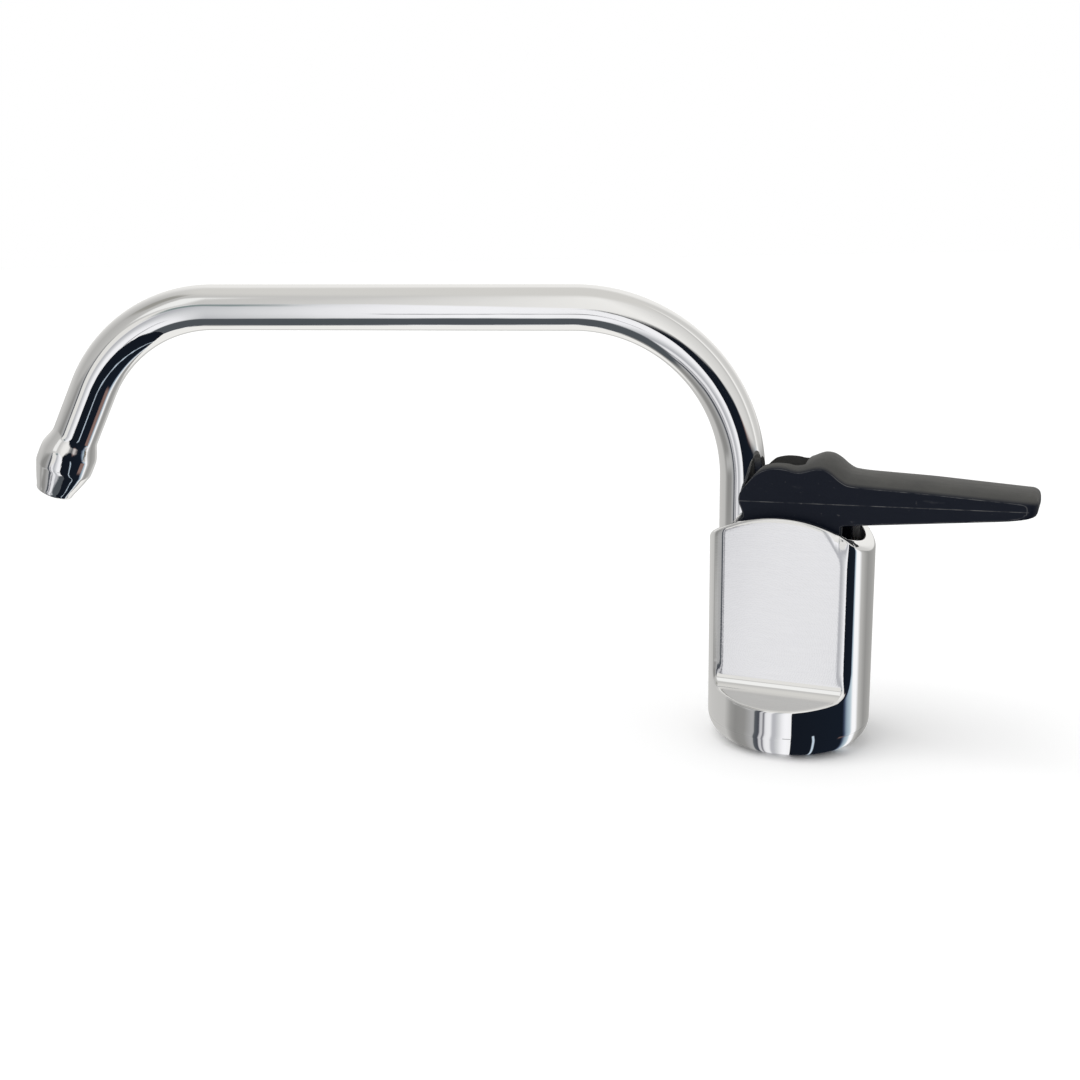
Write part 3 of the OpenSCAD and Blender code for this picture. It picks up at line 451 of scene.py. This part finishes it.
# Body cup: die-cast zinc, polished and chromed, round with two flats that end on a sloping
# ledge. It is hollow from its arched top down, with a slot for the spout towards -X, and the
# floor is drilled for the inlet, two screws, the cable and the two fixing screws.
cup_r, foot_r, foot_flat, cup_top = 21.49, 7, 14.49, 63
flat_y, flat_end, cove_r, ledge_fall = 12.2, 19.35, 4, math.radians(16)
arch_x, arch_z, arch_r = -0.8, 27.6, 34.6
hollow_r, hollow_y, low_y, widen_z, floor_top = 18.8, 10, 8, 22, 5
round_rim, flat_rim, inner_edge = 1.1, 0.6, 0.4
edge_z, edge_r = [13.5, 16.5, 20], [0.4, 0.6, 0.95]
left_worn, left_fall = 2.9, 0.09
right_worn, right_fall, corner_r = 2.8, 0.045, 8
top_worn, top_fall = 1.4, 0.05
slot_x, slot_z, slot_size = -24, 60.5, (20.8, 13, 50)
bored, inlet_r, seal_r, seal_deep = 7, 6.6, 7.55, 1.4
cable_x, cable_y, cable_r = 10.3, -5.9, 2.55
screw_x, screw_y, screw_r, head_r, head_deep = 10.4, 4.8, 1.55, 2.65, 2.1
fixing_y, fixing_r, fixing_deep = 12, 2.1, 14
cup_columns, side_rows, fine_rows, halvings = 400, 110, 1600, 44
crowding, bend_weight = 0.17, 1.6
flat_x = math.sqrt(cup_r**2 - flat_y**2)


def arch(x):
    """Height of the rim."""
    return arch_z + np.sqrt(arch_r**2 - (x - arch_x) ** 2)


def flat_place(z):
    """Distance of the flat, its cove and the ledge from the middle plane at a height."""
    cove_y = flat_y + cove_r
    start_y, start_z = cove_y - cove_r * math.sin(ledge_fall), flat_end - cove_r * math.cos(ledge_fall)
    cove = cove_y - np.sqrt(np.maximum(cove_r**2 - np.minimum(flat_end - z, cove_r) ** 2, 0))
    ledge = start_y + (start_z - z) / math.tan(ledge_fall)
    return np.where(z >= flat_end, flat_y, np.where(z > start_z, cove, ledge))


def worn_off(x, z):
    """How far polishing has let a flat fall off towards its left edge, its right one and the rim."""
    below = arch(x) - z
    left = np.maximum(left_worn - flat_x - x, 0)
    in_corner = (x > flat_x - corner_r) & (below < corner_r)
    rounded_corner = corner_r - np.hypot(corner_r - flat_x + x, corner_r - below)
    corner = np.where(in_corner, rounded_corner, flat_x - x)
    corner = flat_x - x + (corner - flat_x + x) * np.clip((flat_x - x - 0.6) / 2.5, 0, 1)
    right = np.maximum(right_worn - corner, 0) * np.clip((x - flat_x + corner_r) / 4, 0, 1)
    fall = left_fall * np.minimum(left, 1) * np.maximum(2 * left - 1, left) + right_fall * right**2
    top = top_fall * np.maximum(top_worn - below, 0) ** 2 * np.clip((flat_x - x - 1) / 3, 0, 1)
    return np.clip((z - flat_end + 1) / 4, 0, 1) * (fall + top)


def cup_side(turn, z):
    """Radius of the outside, found by halving, with rounded edges between flats and round wall."""
    flat = flat_place(z)
    lean = np.gradient(flat, z[:, 0], axis=0)
    edge = np.interp(z, edge_z, edge_r)
    low, high = np.zeros_like(z), cup_r + 0 * z
    for _ in range(halvings):
        r = (low + high) / 2
        fall = worn_off(r * np.cos(turn), z)
        from_wall = np.maximum(edge - (cup_r - r), 0)
        from_flat = np.maximum(edge - (flat - fall - r * np.abs(np.sin(turn))) / np.sqrt(1 + lean**2), 0)
        outside = np.hypot(from_wall, from_flat) > edge
        high, low = np.where(outside, r, high), np.where(outside, low, r)
    return (low + high) / 2


def rounded(before, corner, after, count):
    """Points of a rounded corner between the two points beside it."""
    t = np.linspace(0, 1, count)[:, None, None]
    return before * (1 - t) ** 2 + corner * 2 * t * (1 - t) + after * t**2


# The columns of points crowd towards the edges of the flats, and the rows where the side bends.
spread = np.linspace(0, 2 * math.pi, cup_columns, endpoint=False)
turn = spread + crowding * np.sin(4 * spread)
fine_z = np.linspace(foot_r, cup_top, fine_rows)[:, None] * np.ones(cup_columns)
fine_r = cup_side(turn[None, :], fine_z)
top_r = fine_r[-1]
for _ in range(6):
    top_z = arch(top_r * np.cos(turn))
    top_r = np.array([np.interp(top_z[c], fine_z[:, c], fine_r[:, c]) for c in range(cup_columns)])
across = np.abs(np.sin(turn))
wall_in = np.minimum(hollow_r, hollow_y / np.maximum(across, 0.05))
low_in = np.minimum(hollow_r, low_y / np.maximum(across, 0.05))
outer_edge = np.where(top_r * across > flat_y - 1.2, flat_rim, round_rim)
rows = []
for r in np.linspace(0, foot_flat, 8)[:-1]:
    rows.append((r + 0 * turn, 0 * turn))
for a in np.linspace(-math.pi / 2, 0, 16)[:-1]:
    rows.append((foot_flat + foot_r * math.cos(a) + 0 * turn, foot_r + foot_r * math.sin(a) + 0 * turn))
side_top = top_z - outer_edge
slope_r, slope_z = np.gradient(fine_r, axis=0), np.gradient(fine_z, axis=0)
bend = np.abs(np.gradient(np.arctan2(slope_r, slope_z), axis=0))
weight = np.cumsum(np.hypot(slope_r, slope_z) + bend_weight * bend, axis=0)
side = np.zeros((side_rows, 2, cup_columns))
for c in range(cup_columns):
    end = np.interp(side_top[c], fine_z[:, c], weight[:, c])
    place = np.linspace(weight[0, c], end, side_rows)
    side[:, 1, c] = np.interp(place, weight[:, c], fine_z[:, c])
    side[:, 0, c] = np.interp(side[:, 1, c], fine_z[:, c], fine_r[:, c])
rows += list(side)
rim_r = np.maximum(top_r - outer_edge, wall_in + inner_edge)
rim = np.array([rim_r, arch(rim_r * np.cos(turn))])
rows += list(rounded(side[-1], np.array([top_r, top_z]), rim, 9)[1:])
lip_r = wall_in + inner_edge
for share in (0.34, 0.67, 1):
    r = rim_r + (lip_r - rim_r) * share
    rows.append((r, arch(r * np.cos(turn))))
in_top = arch(wall_in * np.cos(turn))
lip = np.array([lip_r, arch(lip_r * np.cos(turn))])
in_edge, in_start = np.array([wall_in, in_top]), np.array([wall_in, in_top - inner_edge])
rows += list(rounded(lip, in_edge, in_start, 5)[1:])
for share in np.linspace(0, 1, 10)[1:]:
    rows.append((wall_in, in_top - inner_edge + (widen_z - in_top + inner_edge) * share))
rows.append((low_in, widen_z + 0 * turn))
for z in np.linspace(widen_z, floor_top, 5)[1:]:
    rows.append((low_in, z + 0 * turn))
for share in np.linspace(1, 0, 6)[1:]:
    rows.append((low_in * share, floor_top + 0 * turn))
grid = np.array(rows)
rings = len(rows) - 1
bpy.ops.mesh.primitive_uv_sphere_add(segments=cup_columns, ring_count=rings, radius=1)
cup = bpy.context.object
cup.name = "body_cup"
place = np.array([v.co for v in cup.data.vertices])
ring = np.rint(np.arccos(np.clip(-place[:, 2], -1, 1)) / math.pi * rings).astype(int)
column = np.rint(np.arctan2(place[:, 1], place[:, 0]) / (2 * math.pi) * cup_columns).astype(int) % cup_columns
r, z, angle = grid[ring, 0, column], grid[ring, 1, column], turn[column]
shaped = np.stack([r * np.cos(angle), r * np.sin(angle), z], axis=1)
cup.data.vertices.foreach_set("co", (shaped * mm).ravel())
cup.data.update()


def only(thing):
    """Selects one object alone, as the active one."""
    bpy.ops.object.select_all(action="DESELECT")
    thing.select_set(True)
    bpy.context.view_layer.objects.active = thing


def cut(piece, *cutters):
    """Takes the shape of the cutters out of the piece."""
    only(cutters[0])
    for cutter in cutters:
        cutter.select_set(True)
    if len(cutters) > 1:
        bpy.ops.object.join()
    only(piece)
    bpy.ops.object.modifier_add(type="BOOLEAN")
    step = piece.modifiers[-1]
    step.operation, step.solver, step.object = "DIFFERENCE", "EXACT", cutters[0]
    bpy.ops.object.modifier_apply(modifier=step.name)
    bpy.data.objects.remove(cutters[0])


def hole(x, y, r, top, wide=None, wide_top=None):
    """Cutter for a hole bored from below, with a wider mouth if one is given."""
    mouth_r, mouth_top = wide or r, wide_top or top
    depth = mouth_top + 2
    middle = (x * mm, y * mm, (mouth_top - depth / 2) * mm)
    bpy.ops.mesh.primitive_cylinder_add(vertices=64, radius=mouth_r * mm, depth=depth * mm, location=middle)
    cutter = bpy.context.object
    if wide:
        bpy.ops.object.mode_set(mode="EDIT")
        bpy.ops.mesh.select_mode(type="FACE")
        bpy.ops.mesh.select_all(action="DESELECT")
        bpy.ops.object.mode_set(mode="OBJECT")
        for face in cutter.data.polygons:
            face.select = face.normal.z > 0.9
        bpy.ops.object.mode_set(mode="EDIT")
        bpy.ops.mesh.inset(thickness=(wide - r) * mm)
        bpy.ops.mesh.extrude_region_move(TRANSFORM_OT_translate={"value": (0, 0, (top - mouth_top) * mm)})
        bpy.ops.mesh.select_mode(type="VERT")
        bpy.ops.object.mode_set(mode="OBJECT")
    return cutter


slot_scale = [side * mm for side in slot_size]
bpy.ops.mesh.primitive_cube_add(size=1, location=(slot_x * mm, 0, slot_z * mm), scale=slot_scale)
slot_cutter = bpy.context.object
cutters = [hole(0, 0, inlet_r, bored, seal_r, seal_deep), hole(cable_x, cable_y, cable_r, bored)]
for half in (-1, 1):
    cutters.append(hole(half * screw_x, half * screw_y, screw_r, bored, head_r, head_deep))
    cutters.append(hole(0, half * fixing_y, fixing_r, fixing_deep))
cut(cup, slot_cutter, *cutters)
only(cup)
bpy.ops.object.shade_smooth_by_angle(angle=math.radians(32))

chrome_colour = (0.93, 0.93, 0.935)
polished_light, polished_dark = (0.955, 0.955, 0.96), (0.885, 0.885, 0.892)
chrome_cup, nodes, links, metal = new_material("chrome_cup", chrome_colour, 0.02, 1)
spot = object_place()
x, y, z = axes_of(spot)
from_middle = calc("ABSOLUTE", y)
from_flat = calc("ABSOLUTE", calc("SUBTRACT", from_middle, flat_y * mm))
on_flat = calc("MULTIPLY", ramp(from_flat, 0.9 * mm, 0.3 * mm), ramp(z, 17 * mm, 20 * mm))
mark_frame = nodes.new("ShaderNodeMapping")
mark_frame.inputs["Location"].default_value = (0.006, 0, -0.026)
links.new(spot, mark_frame.inputs["Vector"])
marks = nodes.new("ShaderNodeTexWave")
marks.wave_type = "RINGS"
marks.rings_direction = "Y"
marks.inputs["Scale"].default_value = 520
marks.inputs["Distortion"].default_value = 7
marks.inputs["Detail"].default_value = 3
marks.inputs["Detail Scale"].default_value = 2.5
links.new(mark_frame.outputs["Vector"], marks.inputs["Vector"])
scores = noise(spot, scale=300, detail=4, rough=0.6, stretch=(0.6, 1, 5))
polish = calc("MULTIPLY", calc("MULTIPLY_ADD", marks.outputs["Fac"], 0.35, scores), on_flat)
links.new(blend(polish, polished_light, polished_dark), metal.inputs["Base Color"])
waves = bump(noise(spot, scale=90, detail=2), 0.01 * mm)
links.new(bump(polish, 0.003 * mm, under=waves), metal.inputs["Normal"])
smudge = ramp(noise(spot, scale=120, detail=5, rough=0.6, offset=(3, 1, 2)), 0.5, 0.75)
haze = calc("MULTIPLY_ADD", smudge, 0.03, 0.02)
marked = calc("MULTIPLY", marks.outputs["Fac"], on_flat)
polished = calc("MULTIPLY_ADD", marked, 0.05, haze)
in_round = ramp(from_axis(x, y), (hollow_r + 0.3) * mm, (hollow_r + 0.1) * mm)
in_flats = ramp(from_middle, (hollow_y + 0.3) * mm, (hollow_y + 0.1) * mm)
hollow = calc("MULTIPLY", in_round, in_flats)
links.new(calc("MULTIPLY_ADD", hollow, 0.35, polished), metal.inputs["Roughness"])
cup.data.materials.clear()
cup.data.materials.append(chrome_cup)
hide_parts("body_shell")
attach(cup, "base")

# Spout: one brass tube of 12 mm, bent over the stem and at the outlet, then chromed. The outlet
# end is swaged out to a bulb and drawn in to a plain lip; the lower end slips over the spigot.
tube_r, bore_r, tube_low, tube_sides = 5.99, 5, 52.55, 96
arm_h, bend_one, bend_two, reach, leg_drop = 115.4, 45, 38, 164.3, 37.8
arm_rise, leg_turn = math.radians(1), math.radians(64.4)
stem_x, rest_turn = -13.6, math.radians(20)
bend_one_steps, bend_two_steps = 56, 40
bulb_end = 18.2
profile = [
    (0.6, 5.99), (1.4, 6.1), (2.4, 6.42), (3.6, 6.88), (4.6, 7.2), (5.2, 7.36), (5.7, 7.43), (6.6, 7.48),
    (8, 7.5), (9.4, 7.48), (10.2, 7.43), (10.6, 7.34), (11, 7.2), (12.5, 6.72), (14, 6.2), (15.5, 5.65),
    (16.6, 5.22), (17.3, 4.98), (17.8, 4.85), (18.08, 4.7), (18.17, 4.5), (18.14, 4.3), (17.95, 4.14),
    (17.7, 4.05), (12.7, 4.05), (12.7, bore_r), (0, bore_r),
]
turn_two = bend_two * math.tan(leg_turn / 2)
arm_len = (reach - bend_one * (1 - math.sin(arm_rise))) / math.cos(arm_rise) - turn_two
leg_len = leg_drop - turn_two
arm_way = Vector((-math.cos(arm_rise), 0, math.sin(arm_rise)))
arm_down = Vector((-math.sin(arm_rise), 0, -math.cos(arm_rise)))
leg_way = arm_way * math.cos(leg_turn) + arm_down * math.sin(leg_turn)
bend_one_at = Vector((-bend_one, 0, arm_h - bend_one))
arm_start = bend_one_at - arm_down * bend_one
bend_two_at = arm_start + arm_way * arm_len + arm_down * bend_two
leg_start = bend_two_at + (arm_way * math.sin(leg_turn) - arm_down * math.cos(leg_turn)) * bend_two
bpy.ops.mesh.primitive_circle_add(vertices=tube_sides, radius=tube_r * mm, location=(0, 0, tube_low * mm))
spout = bpy.context.object
spout.name = "spout"
bpy.ops.object.transform_apply(location=True, rotation=True, scale=True)
bpy.ops.object.mode_set(mode="EDIT")
bpy.ops.mesh.select_all(action="SELECT")


def draw_out(way):
    """Draws the selected ring out along a straight line."""
    bpy.ops.mesh.extrude_region_move(TRANSFORM_OT_translate={"value": way * mm})


def draw_round(centre, angle, count):
    """Draws the selected ring round a bend."""
    bpy.ops.mesh.spin(steps=count, angle=angle, center=centre * mm, axis=(0, 1, 0))


# The ring is drawn along the outside to the lip, and back along the bore to where it began.
draw_out(Vector((0, 0, arm_h - bend_one - tube_low)))
draw_round(bend_one_at, math.pi / 2 - arm_rise, bend_one_steps)
draw_out(arm_way * arm_len)
draw_round(bend_two_at, leg_turn, bend_two_steps)
draw_out(leg_way * leg_len)
size, place = tube_r, 0
for along, r in profile:
    draw_out(leg_way * (along - place))
    middle = (leg_start + leg_way * (leg_len + along)) * mm
    bpy.ops.transform.resize(value=(r / size, r / size, r / size), center_override=middle)
    size, place = r, along
draw_out(leg_way * -leg_len)
draw_round(bend_two_at, -leg_turn, bend_two_steps)
draw_out(arm_way * -arm_len)
draw_round(bend_one_at, arm_rise - math.pi / 2, bend_one_steps)
draw_out(Vector((0, 0, tube_low - arm_h + bend_one)))
bpy.ops.mesh.select_all(action="SELECT")
bpy.ops.mesh.remove_doubles(threshold=1e-6)
bpy.ops.mesh.select_all(action="DESELECT")
bpy.ops.mesh.select_non_manifold()
bpy.ops.mesh.bridge_edge_loops()
bpy.ops.mesh.select_all(action="SELECT")
bpy.ops.mesh.normals_make_consistent(inside=False)
bpy.ops.object.mode_set(mode="OBJECT")

# Each point keeps how far along the tube it lies and where round it, for the drawing marks.
path = [Vector((0, 0, z)) for z in np.linspace(tube_low, arm_h - bend_one, 30)]
for a in np.linspace(0, math.pi / 2 - arm_rise, 60)[1:]:
    path.append(bend_one_at + Vector((math.cos(a), 0, math.sin(a))) * bend_one)
path += [arm_start + arm_way * s for s in np.linspace(0, arm_len, 100)[1:]]
for a in np.linspace(0, leg_turn, 50)[1:]:
    path.append(bend_two_at + (arm_way * math.sin(a) - arm_down * math.cos(a)) * bend_two)
path += [leg_start + leg_way * s for s in np.linspace(0, leg_len + bulb_end, 40)[1:]]
path = np.array(path)
ahead = np.gradient(path, axis=0)
ahead /= np.linalg.norm(ahead, axis=1)[:, None]
length = np.concatenate([[0], np.cumsum(np.linalg.norm(np.diff(path, axis=0), axis=1))])
co = np.array([v.co for v in spout.data.vertices]) / mm
near = np.array([np.argmin(((path - p) ** 2).sum(axis=1)) for p in co])
off = co - path[near]
cosine, sine = off[:, 0] * ahead[near, 2] - off[:, 2] * ahead[near, 0], off[:, 1]
unrolled = np.stack([length[near], cosine, sine], axis=1) / [1, tube_r, tube_r]
drawn = spout.data.attributes.new("drawn", "FLOAT_VECTOR", "POINT")
drawn.data.foreach_set("vector", unrolled.astype(np.float32).ravel())
spout.rotation_euler = (0, 0, rest_turn)
spout.location = (stem_x * mm, 0, 0)
bpy.ops.object.transform_apply(location=True, rotation=True, scale=True)
bpy.ops.object.shade_smooth_by_angle(angle=math.radians(40))

chrome_tube, nodes, links, metal = new_material("chrome_tube", chrome_colour, 0.03, 1)
grain = nodes.new("ShaderNodeAttribute")
grain.attribute_name = "drawn"
tube_place = grain.outputs["Vector"]
lines = noise(tube_place, scale=1, detail=4, rough=0.6, stretch=(0.012, 9, 9))
fine = noise(tube_place, scale=1, detail=3, rough=0.6, stretch=(0.05, 40, 40))
ripple = noise(tube_place, scale=1, detail=2, rough=0.5, stretch=(0.05, 1.2, 1.2))
rippled = bump(ripple, 0.03 * mm)
lined = bump(lines, 0.01 * mm, under=rippled)
links.new(bump(fine, 0.0006 * mm, under=lined), metal.inputs["Normal"])
links.new(calc("MULTIPLY_ADD", ramp(lines, 0.45, 0.7), 0.05, 0.02), metal.inputs["Roughness"])
spout.data.materials.append(chrome_tube)
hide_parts("spout_tube")
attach(spout, "spout")

# Lever: one moulding in satin black plastic, forked round the stem, with two humps for the
# thumb and a tapering handle. Its top is slightly crowned and its edges are rounded. The upper
# side is painted lighter and browner, a painted sheen of light from above. The rim of each side is
# painted pale, a painted highlight with some edge wear, and a pale line along the side, a painted
# highlight in place of a ridge, shows where the mould parted.
lever_y, fork_y = 8.6, 6.4
pivot_x, pivot_z, pivot_r, ear_r = 1, 52, 3.5, 5.6
lift_x, lift_z, lift_r = 10, 50, 1.55
cheek_x, cheek_low, under_z, under_rise, under_len = 14.3, 46.9, 60.5, 3.95, 39.94
crown_x, crown_h = [-2, 8, 20, 36, 58], [2, 3.3, 3.05, 3, 2.6]
tip_x, tip_y, tip_r, tip_len = 52, 6.2, 2.4, 8
line_steps, painted_sheen_rise = 3, 0.9
part_slope, part_start = 0.0203, 65.78


def arc_points(x, z, r, start, end, count):
    """Points on an arc in the XZ plane."""
    turns = np.radians(np.linspace(start, end, count))
    return [(x + r * math.cos(a), z + r * math.sin(a)) for a in turns]


def rod_of_outline(name, count, places):
    """Closed ring of points in the XZ plane drawn out along Y: each point's number and place."""
    upright = (math.pi / 2, 0, 0)
    bpy.ops.mesh.primitive_circle_add(vertices=count, radius=1, fill_type="NGON", rotation=upright)
    rod = bpy.context.object
    rod.name = name
    bpy.ops.object.transform_apply(location=True, rotation=True, scale=True)
    bpy.ops.object.mode_set(mode="EDIT")
    bpy.ops.mesh.select_all(action="SELECT")
    for _ in range(places - 1):
        bpy.ops.mesh.extrude_region_move(TRANSFORM_OT_translate={"value": (0, 1, 0)})
    bpy.ops.object.mode_set(mode="OBJECT")
    co = np.array([v.co for v in rod.data.vertices])
    number = np.rint(np.arctan2(co[:, 0], co[:, 2]) / (2 * math.pi) * count).astype(int)
    return rod, number % count, np.rint(co[:, 1]).astype(int)


def place_points(piece, co):
    """Puts the points of a mesh at places in millimetres and turns its faces outward."""
    piece.data.vertices.foreach_set("co", (co * mm).ravel())
    piece.data.update()
    only(piece)
    bpy.ops.object.mode_set(mode="EDIT")
    bpy.ops.mesh.select_all(action="SELECT")
    bpy.ops.mesh.normals_make_consistent(inside=False)
    bpy.ops.object.mode_set(mode="OBJECT")


def smooth_line(points, steps):
    """Points along a smooth line through the given ones."""
    points = np.array([points[0], *points, points[-1]], float)
    t = np.linspace(0, 1, steps, endpoint=False)[:, None]
    spans = []
    for a, b, c, d in zip(points, points[1:], points[2:], points[3:]):
        square, cube = 2 * a - 5 * b + 4 * c - d, 3 * b - a - 3 * c + d
        spans.append(0.5 * (2 * b + (c - a) * t + square * t**2 + cube * t**3))
    return np.concatenate(spans)


def place_key(place):
    """A place in whole hundredths of a millimetre."""
    return tuple(np.rint(place * 100))


# The outline as x, z and how far the crown lifts it, over the top and back along the underside.
nose = [
    (-12.45, 66, 0), (-12.3, 67, 0), (-11.75, 68.1, 0.05), (-11, 69.2, 0.15),
    (-10, 70.35, 0.25), (-9, 71.45, 0.4), (-8, 72.4, 0.6), (-7, 73.1, 0.8),
]
humps = [
    (-6, 73.6, 1), (-4.35, 74.1, 1), (-2.34, 74.36, 1), (0.08, 74.1, 1), (1.69, 73.65, 1), (3.28, 73.56, 1),
    (5.25, 73.98, 1), (6.81, 74.46, 1), (8.38, 74.65, 1), (9.95, 74.38, 1), (11.54, 73.5, 1),
    (13.14, 72.2, 1), (14.72, 71.2, 1), (15.89, 70.82, 1), (17.82, 70.62, 1), (20, 70.5, 1),
]
handle = [(28, 70.2, 1), (35.5, 69.9, 1), (46, 69.35, 1), (57, 68.8, 1), (58.6, 68.7, 1)]
tip = [
    (59.6, 68.5, 0.85), (60.1, 68.1, 0.6), (60.25, 67.5, 0.3), (60.25, 66.8, 0.1),
    (60, 66.1, 0), (59.5, 65.6, 0), (58.6, 65.2, 0), (57.2, 64.85, 0),
]
upper = smooth_line(nose + humps + handle + tip, line_steps)
under = [(x, under_z + under_rise * (x - cheek_x) / under_len, 0) for x in np.linspace(54.2, 15.2, 12)]
under += [(cheek_x, 60.2, 0), (cheek_x, 55, 0), (cheek_x, cheek_low, 0), (6.6, cheek_low, 0)]
under += [(x, z, 0) for x, z in arc_points(pivot_x, pivot_z, ear_r, -65.6, -150, 9)[1:]]
under += [(-13.7, 56.5, 0), (-13.7, 58.9, 0), (-11.2, 61.5, 0)]
under += [(-11.25, 62.2, 0), (-11.75, 63.6, 0), (-12.3, 64.8, 0)]
outline = np.concatenate([upper, under])[::-1]
outline, domed = outline[:, :2], outline[:, 2]
ahead = np.roll(outline, -1, axis=0) - outline
ahead /= np.linalg.norm(ahead, axis=1)[:, None]
left = np.stack([-ahead[:, 1], ahead[:, 0]], axis=1)
inward = left + np.roll(left, 1, axis=0)
inward /= np.maximum((inward * left).sum(axis=1), 0.5)[:, None]

# Sections across the lever: y, share of the crown, and the inset of the top and of the rest.
half = [(lever_y, 0, 0.12, 0.42), (lever_y, 0, 0, 0.3)]
insets = {3: 0.2, 10: 0.06, 18: 0, 27: 0, 37: 0, 48: 0, 60: 0, 72: 0, 82: 0}
for degrees, low_inset in insets.items():
    angle = math.radians(degrees)
    half.append((lever_y * math.cos(angle), math.sin(angle), 0, low_inset))
stations = np.array([(-y, *rest) for y, *rest in half] + [(0, 1, 0, 0)] + half[::-1])
lever, number, station = rod_of_outline("lever_moulding", len(outline), len(stations))
y, raised, top_inset, low_inset = stations[station].T
inset = np.where(domed[number] > 0, top_inset, low_inset)
x, z = (outline[number] + inward[number] * inset[:, None]).T
along = outline[number][:, 0]
z = z + domed[number] * np.interp(along, crown_x, crown_h) * raised
side_off = np.maximum((np.abs(y) - tip_y) / tip_r, 0)
x = x - tip_r * (1 - np.sqrt(np.maximum(1 - side_off**2, 0))) * np.clip((along - tip_x) / tip_len, 0, 1)
shaped = np.stack([x, y, z], axis=1)
place_points(lever, shaped)
rim_places = {place_key(v) for v, s in zip(shaped, station) if s in (1, len(stations) - 2)}
fork = np.array([
    (-36, 40), (15.5, 40), (15.5, 61.5), (-4.1, 61.5), (-1.2, 66.5), (0.6, 70),
    (1.9, 72.3), (3, 73.8), (4.4, 75.4), (6, 90), (-36, 90),
])
fork_cutter, number, station = rod_of_outline("fork_cutter", len(fork), 2)
fork_x, fork_z = fork[number].T
place_points(fork_cutter, np.stack([fork_x, station * 2 * fork_y - fork_y, fork_z], axis=1))
cut(lever, fork_cutter)
for hole_x, hole_z, hole_r in ((pivot_x, pivot_z, pivot_r), (lift_x, lift_z, lift_r)):
    middle, sideways = (hole_x * mm, 0, hole_z * mm), (math.pi / 2, 0, 0)
    bpy.ops.mesh.primitive_cylinder_add(
        vertices=48, radius=hole_r * mm, depth=30 * mm, location=middle, rotation=sideways
    )
    cut(lever, bpy.context.object)
only(lever)
bpy.ops.object.shade_smooth_by_angle(angle=math.radians(38))
co = np.array([v.co for v in lever.data.vertices]) / mm
top_line = upper[: len(nose + humps + handle) * line_steps]
line_z = np.interp(co[:, 0], top_line[:, 0], top_line[:, 1])
# A mask for a painted sheen on the upper side, rising from 0 at the top line to 1 a set height above it,
# standing in for light from above.
painted_top_sheen = lever.data.attributes.new("painted_top_sheen", "FLOAT", "POINT")
painted_top_sheen.data.foreach_set("value", np.clip((co[:, 2] - line_z) / painted_sheen_rise, 0, 1).astype(np.float32))
# The rim rings of each side are marked for a pale line: a painted highlight along the rounded edge, with some
# edge wear.
rim_highlight_and_wear = lever.data.attributes.new("rim_highlight_and_wear", "FLOAT", "POINT")
rim_highlight_and_wear.data.foreach_set("value", [float(place_key(place) in rim_places) for place in co])

# The upper side's lighter colour is a painted sheen of light from above; the worn colour serves real wear and
# painted highlights alike.
lever_colour, painted_sheen_colour = (0.003, 0.0055, 0.0135), (0.064, 0.063, 0.059)
wear_and_highlight_colour = (0.13, 0.13, 0.13)
lever_black, nodes, links, plastic = new_material("lever_black", lever_colour, 0.5)
plastic.inputs["Specular IOR Level"].default_value = 0.2
spot = object_place()
x, y, z = axes_of(spot)
rim_highlight_and_wear_node = nodes.new("ShaderNodeAttribute")
rim_highlight_and_wear_node.attribute_name = "rim_highlight_and_wear"
upper_side = nodes.new("ShaderNodeAttribute")
upper_side.attribute_name = "painted_top_sheen"
# The pale line where the mould parted is a painted highlight, in place of light caught by a ridge.
part_z = calc("MULTIPLY_ADD", x, part_slope, part_start * mm)
off_line = calc("ABSOLUTE", calc("SUBTRACT", z, part_z))
on_side = ramp(calc("ABSOLUTE", y), 8.5 * mm, 8.58 * mm)
parting_highlight = calc("MULTIPLY", ramp(off_line, 0.12 * mm, 0.03 * mm), on_side)
# The pale lines of the rim and the parting line are painted highlights, broken up by noise.
broken = ramp(noise(spot, scale=260, detail=3, rough=0.6, stretch=(1, 1, 0.3)), 0.3, 0.65)
pale = calc("MULTIPLY", calc("MAXIMUM", rim_highlight_and_wear_node.outputs["Fac"], parting_highlight), broken)
streaks = noise(spot, scale=420, detail=4, rough=0.7, stretch=(0.25, 1, 1), offset=(2, 0, 1))
rubbed = ramp(streaks, 0.62, 0.78)
specks = ramp(noise(spot, scale=1300, detail=2, rough=0.5, stretch=(0.7, 1, 1)), 0.7, 0.76)
scuff = calc("MULTIPLY", calc("MULTIPLY_ADD", specks, 2.0, rubbed), on_side)
# The worn colour goes on real scuffs and on the painted highlights of the rim and the parting line.
wear_and_highlight = calc("MULTIPLY_ADD", scuff, 0.12, calc("MULTIPLY", pale, 0.8))
# Noise clouds the painted sheen on the upper side.
cloud = calc("MULTIPLY_ADD", noise(spot, scale=140, detail=4, rough=0.6), 0.6, 0.6)
cloudy = calc("MULTIPLY", upper_side.outputs["Fac"], cloud)
ground = blend(cloudy, lever_colour, painted_sheen_colour)
links.new(blend(wear_and_highlight, ground, wear_and_highlight_colour), plastic.inputs["Base Color"])
grain = noise(spot, scale=2600, detail=2, rough=0.6)
brush = noise(spot, scale=900, detail=2, rough=0.6, stretch=(0.15, 1, 1))
texture = calc("MULTIPLY_ADD", brush, 0.6, grain)
links.new(bump(texture, 0.02 * mm, strength=0.5), plastic.inputs["Normal"])
links.new(calc("MULTIPLY_ADD", brush, 0.2, 0.42), plastic.inputs["Roughness"])
lever.data.materials.append(lever_black)
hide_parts("lever")
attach(lever, "lever")
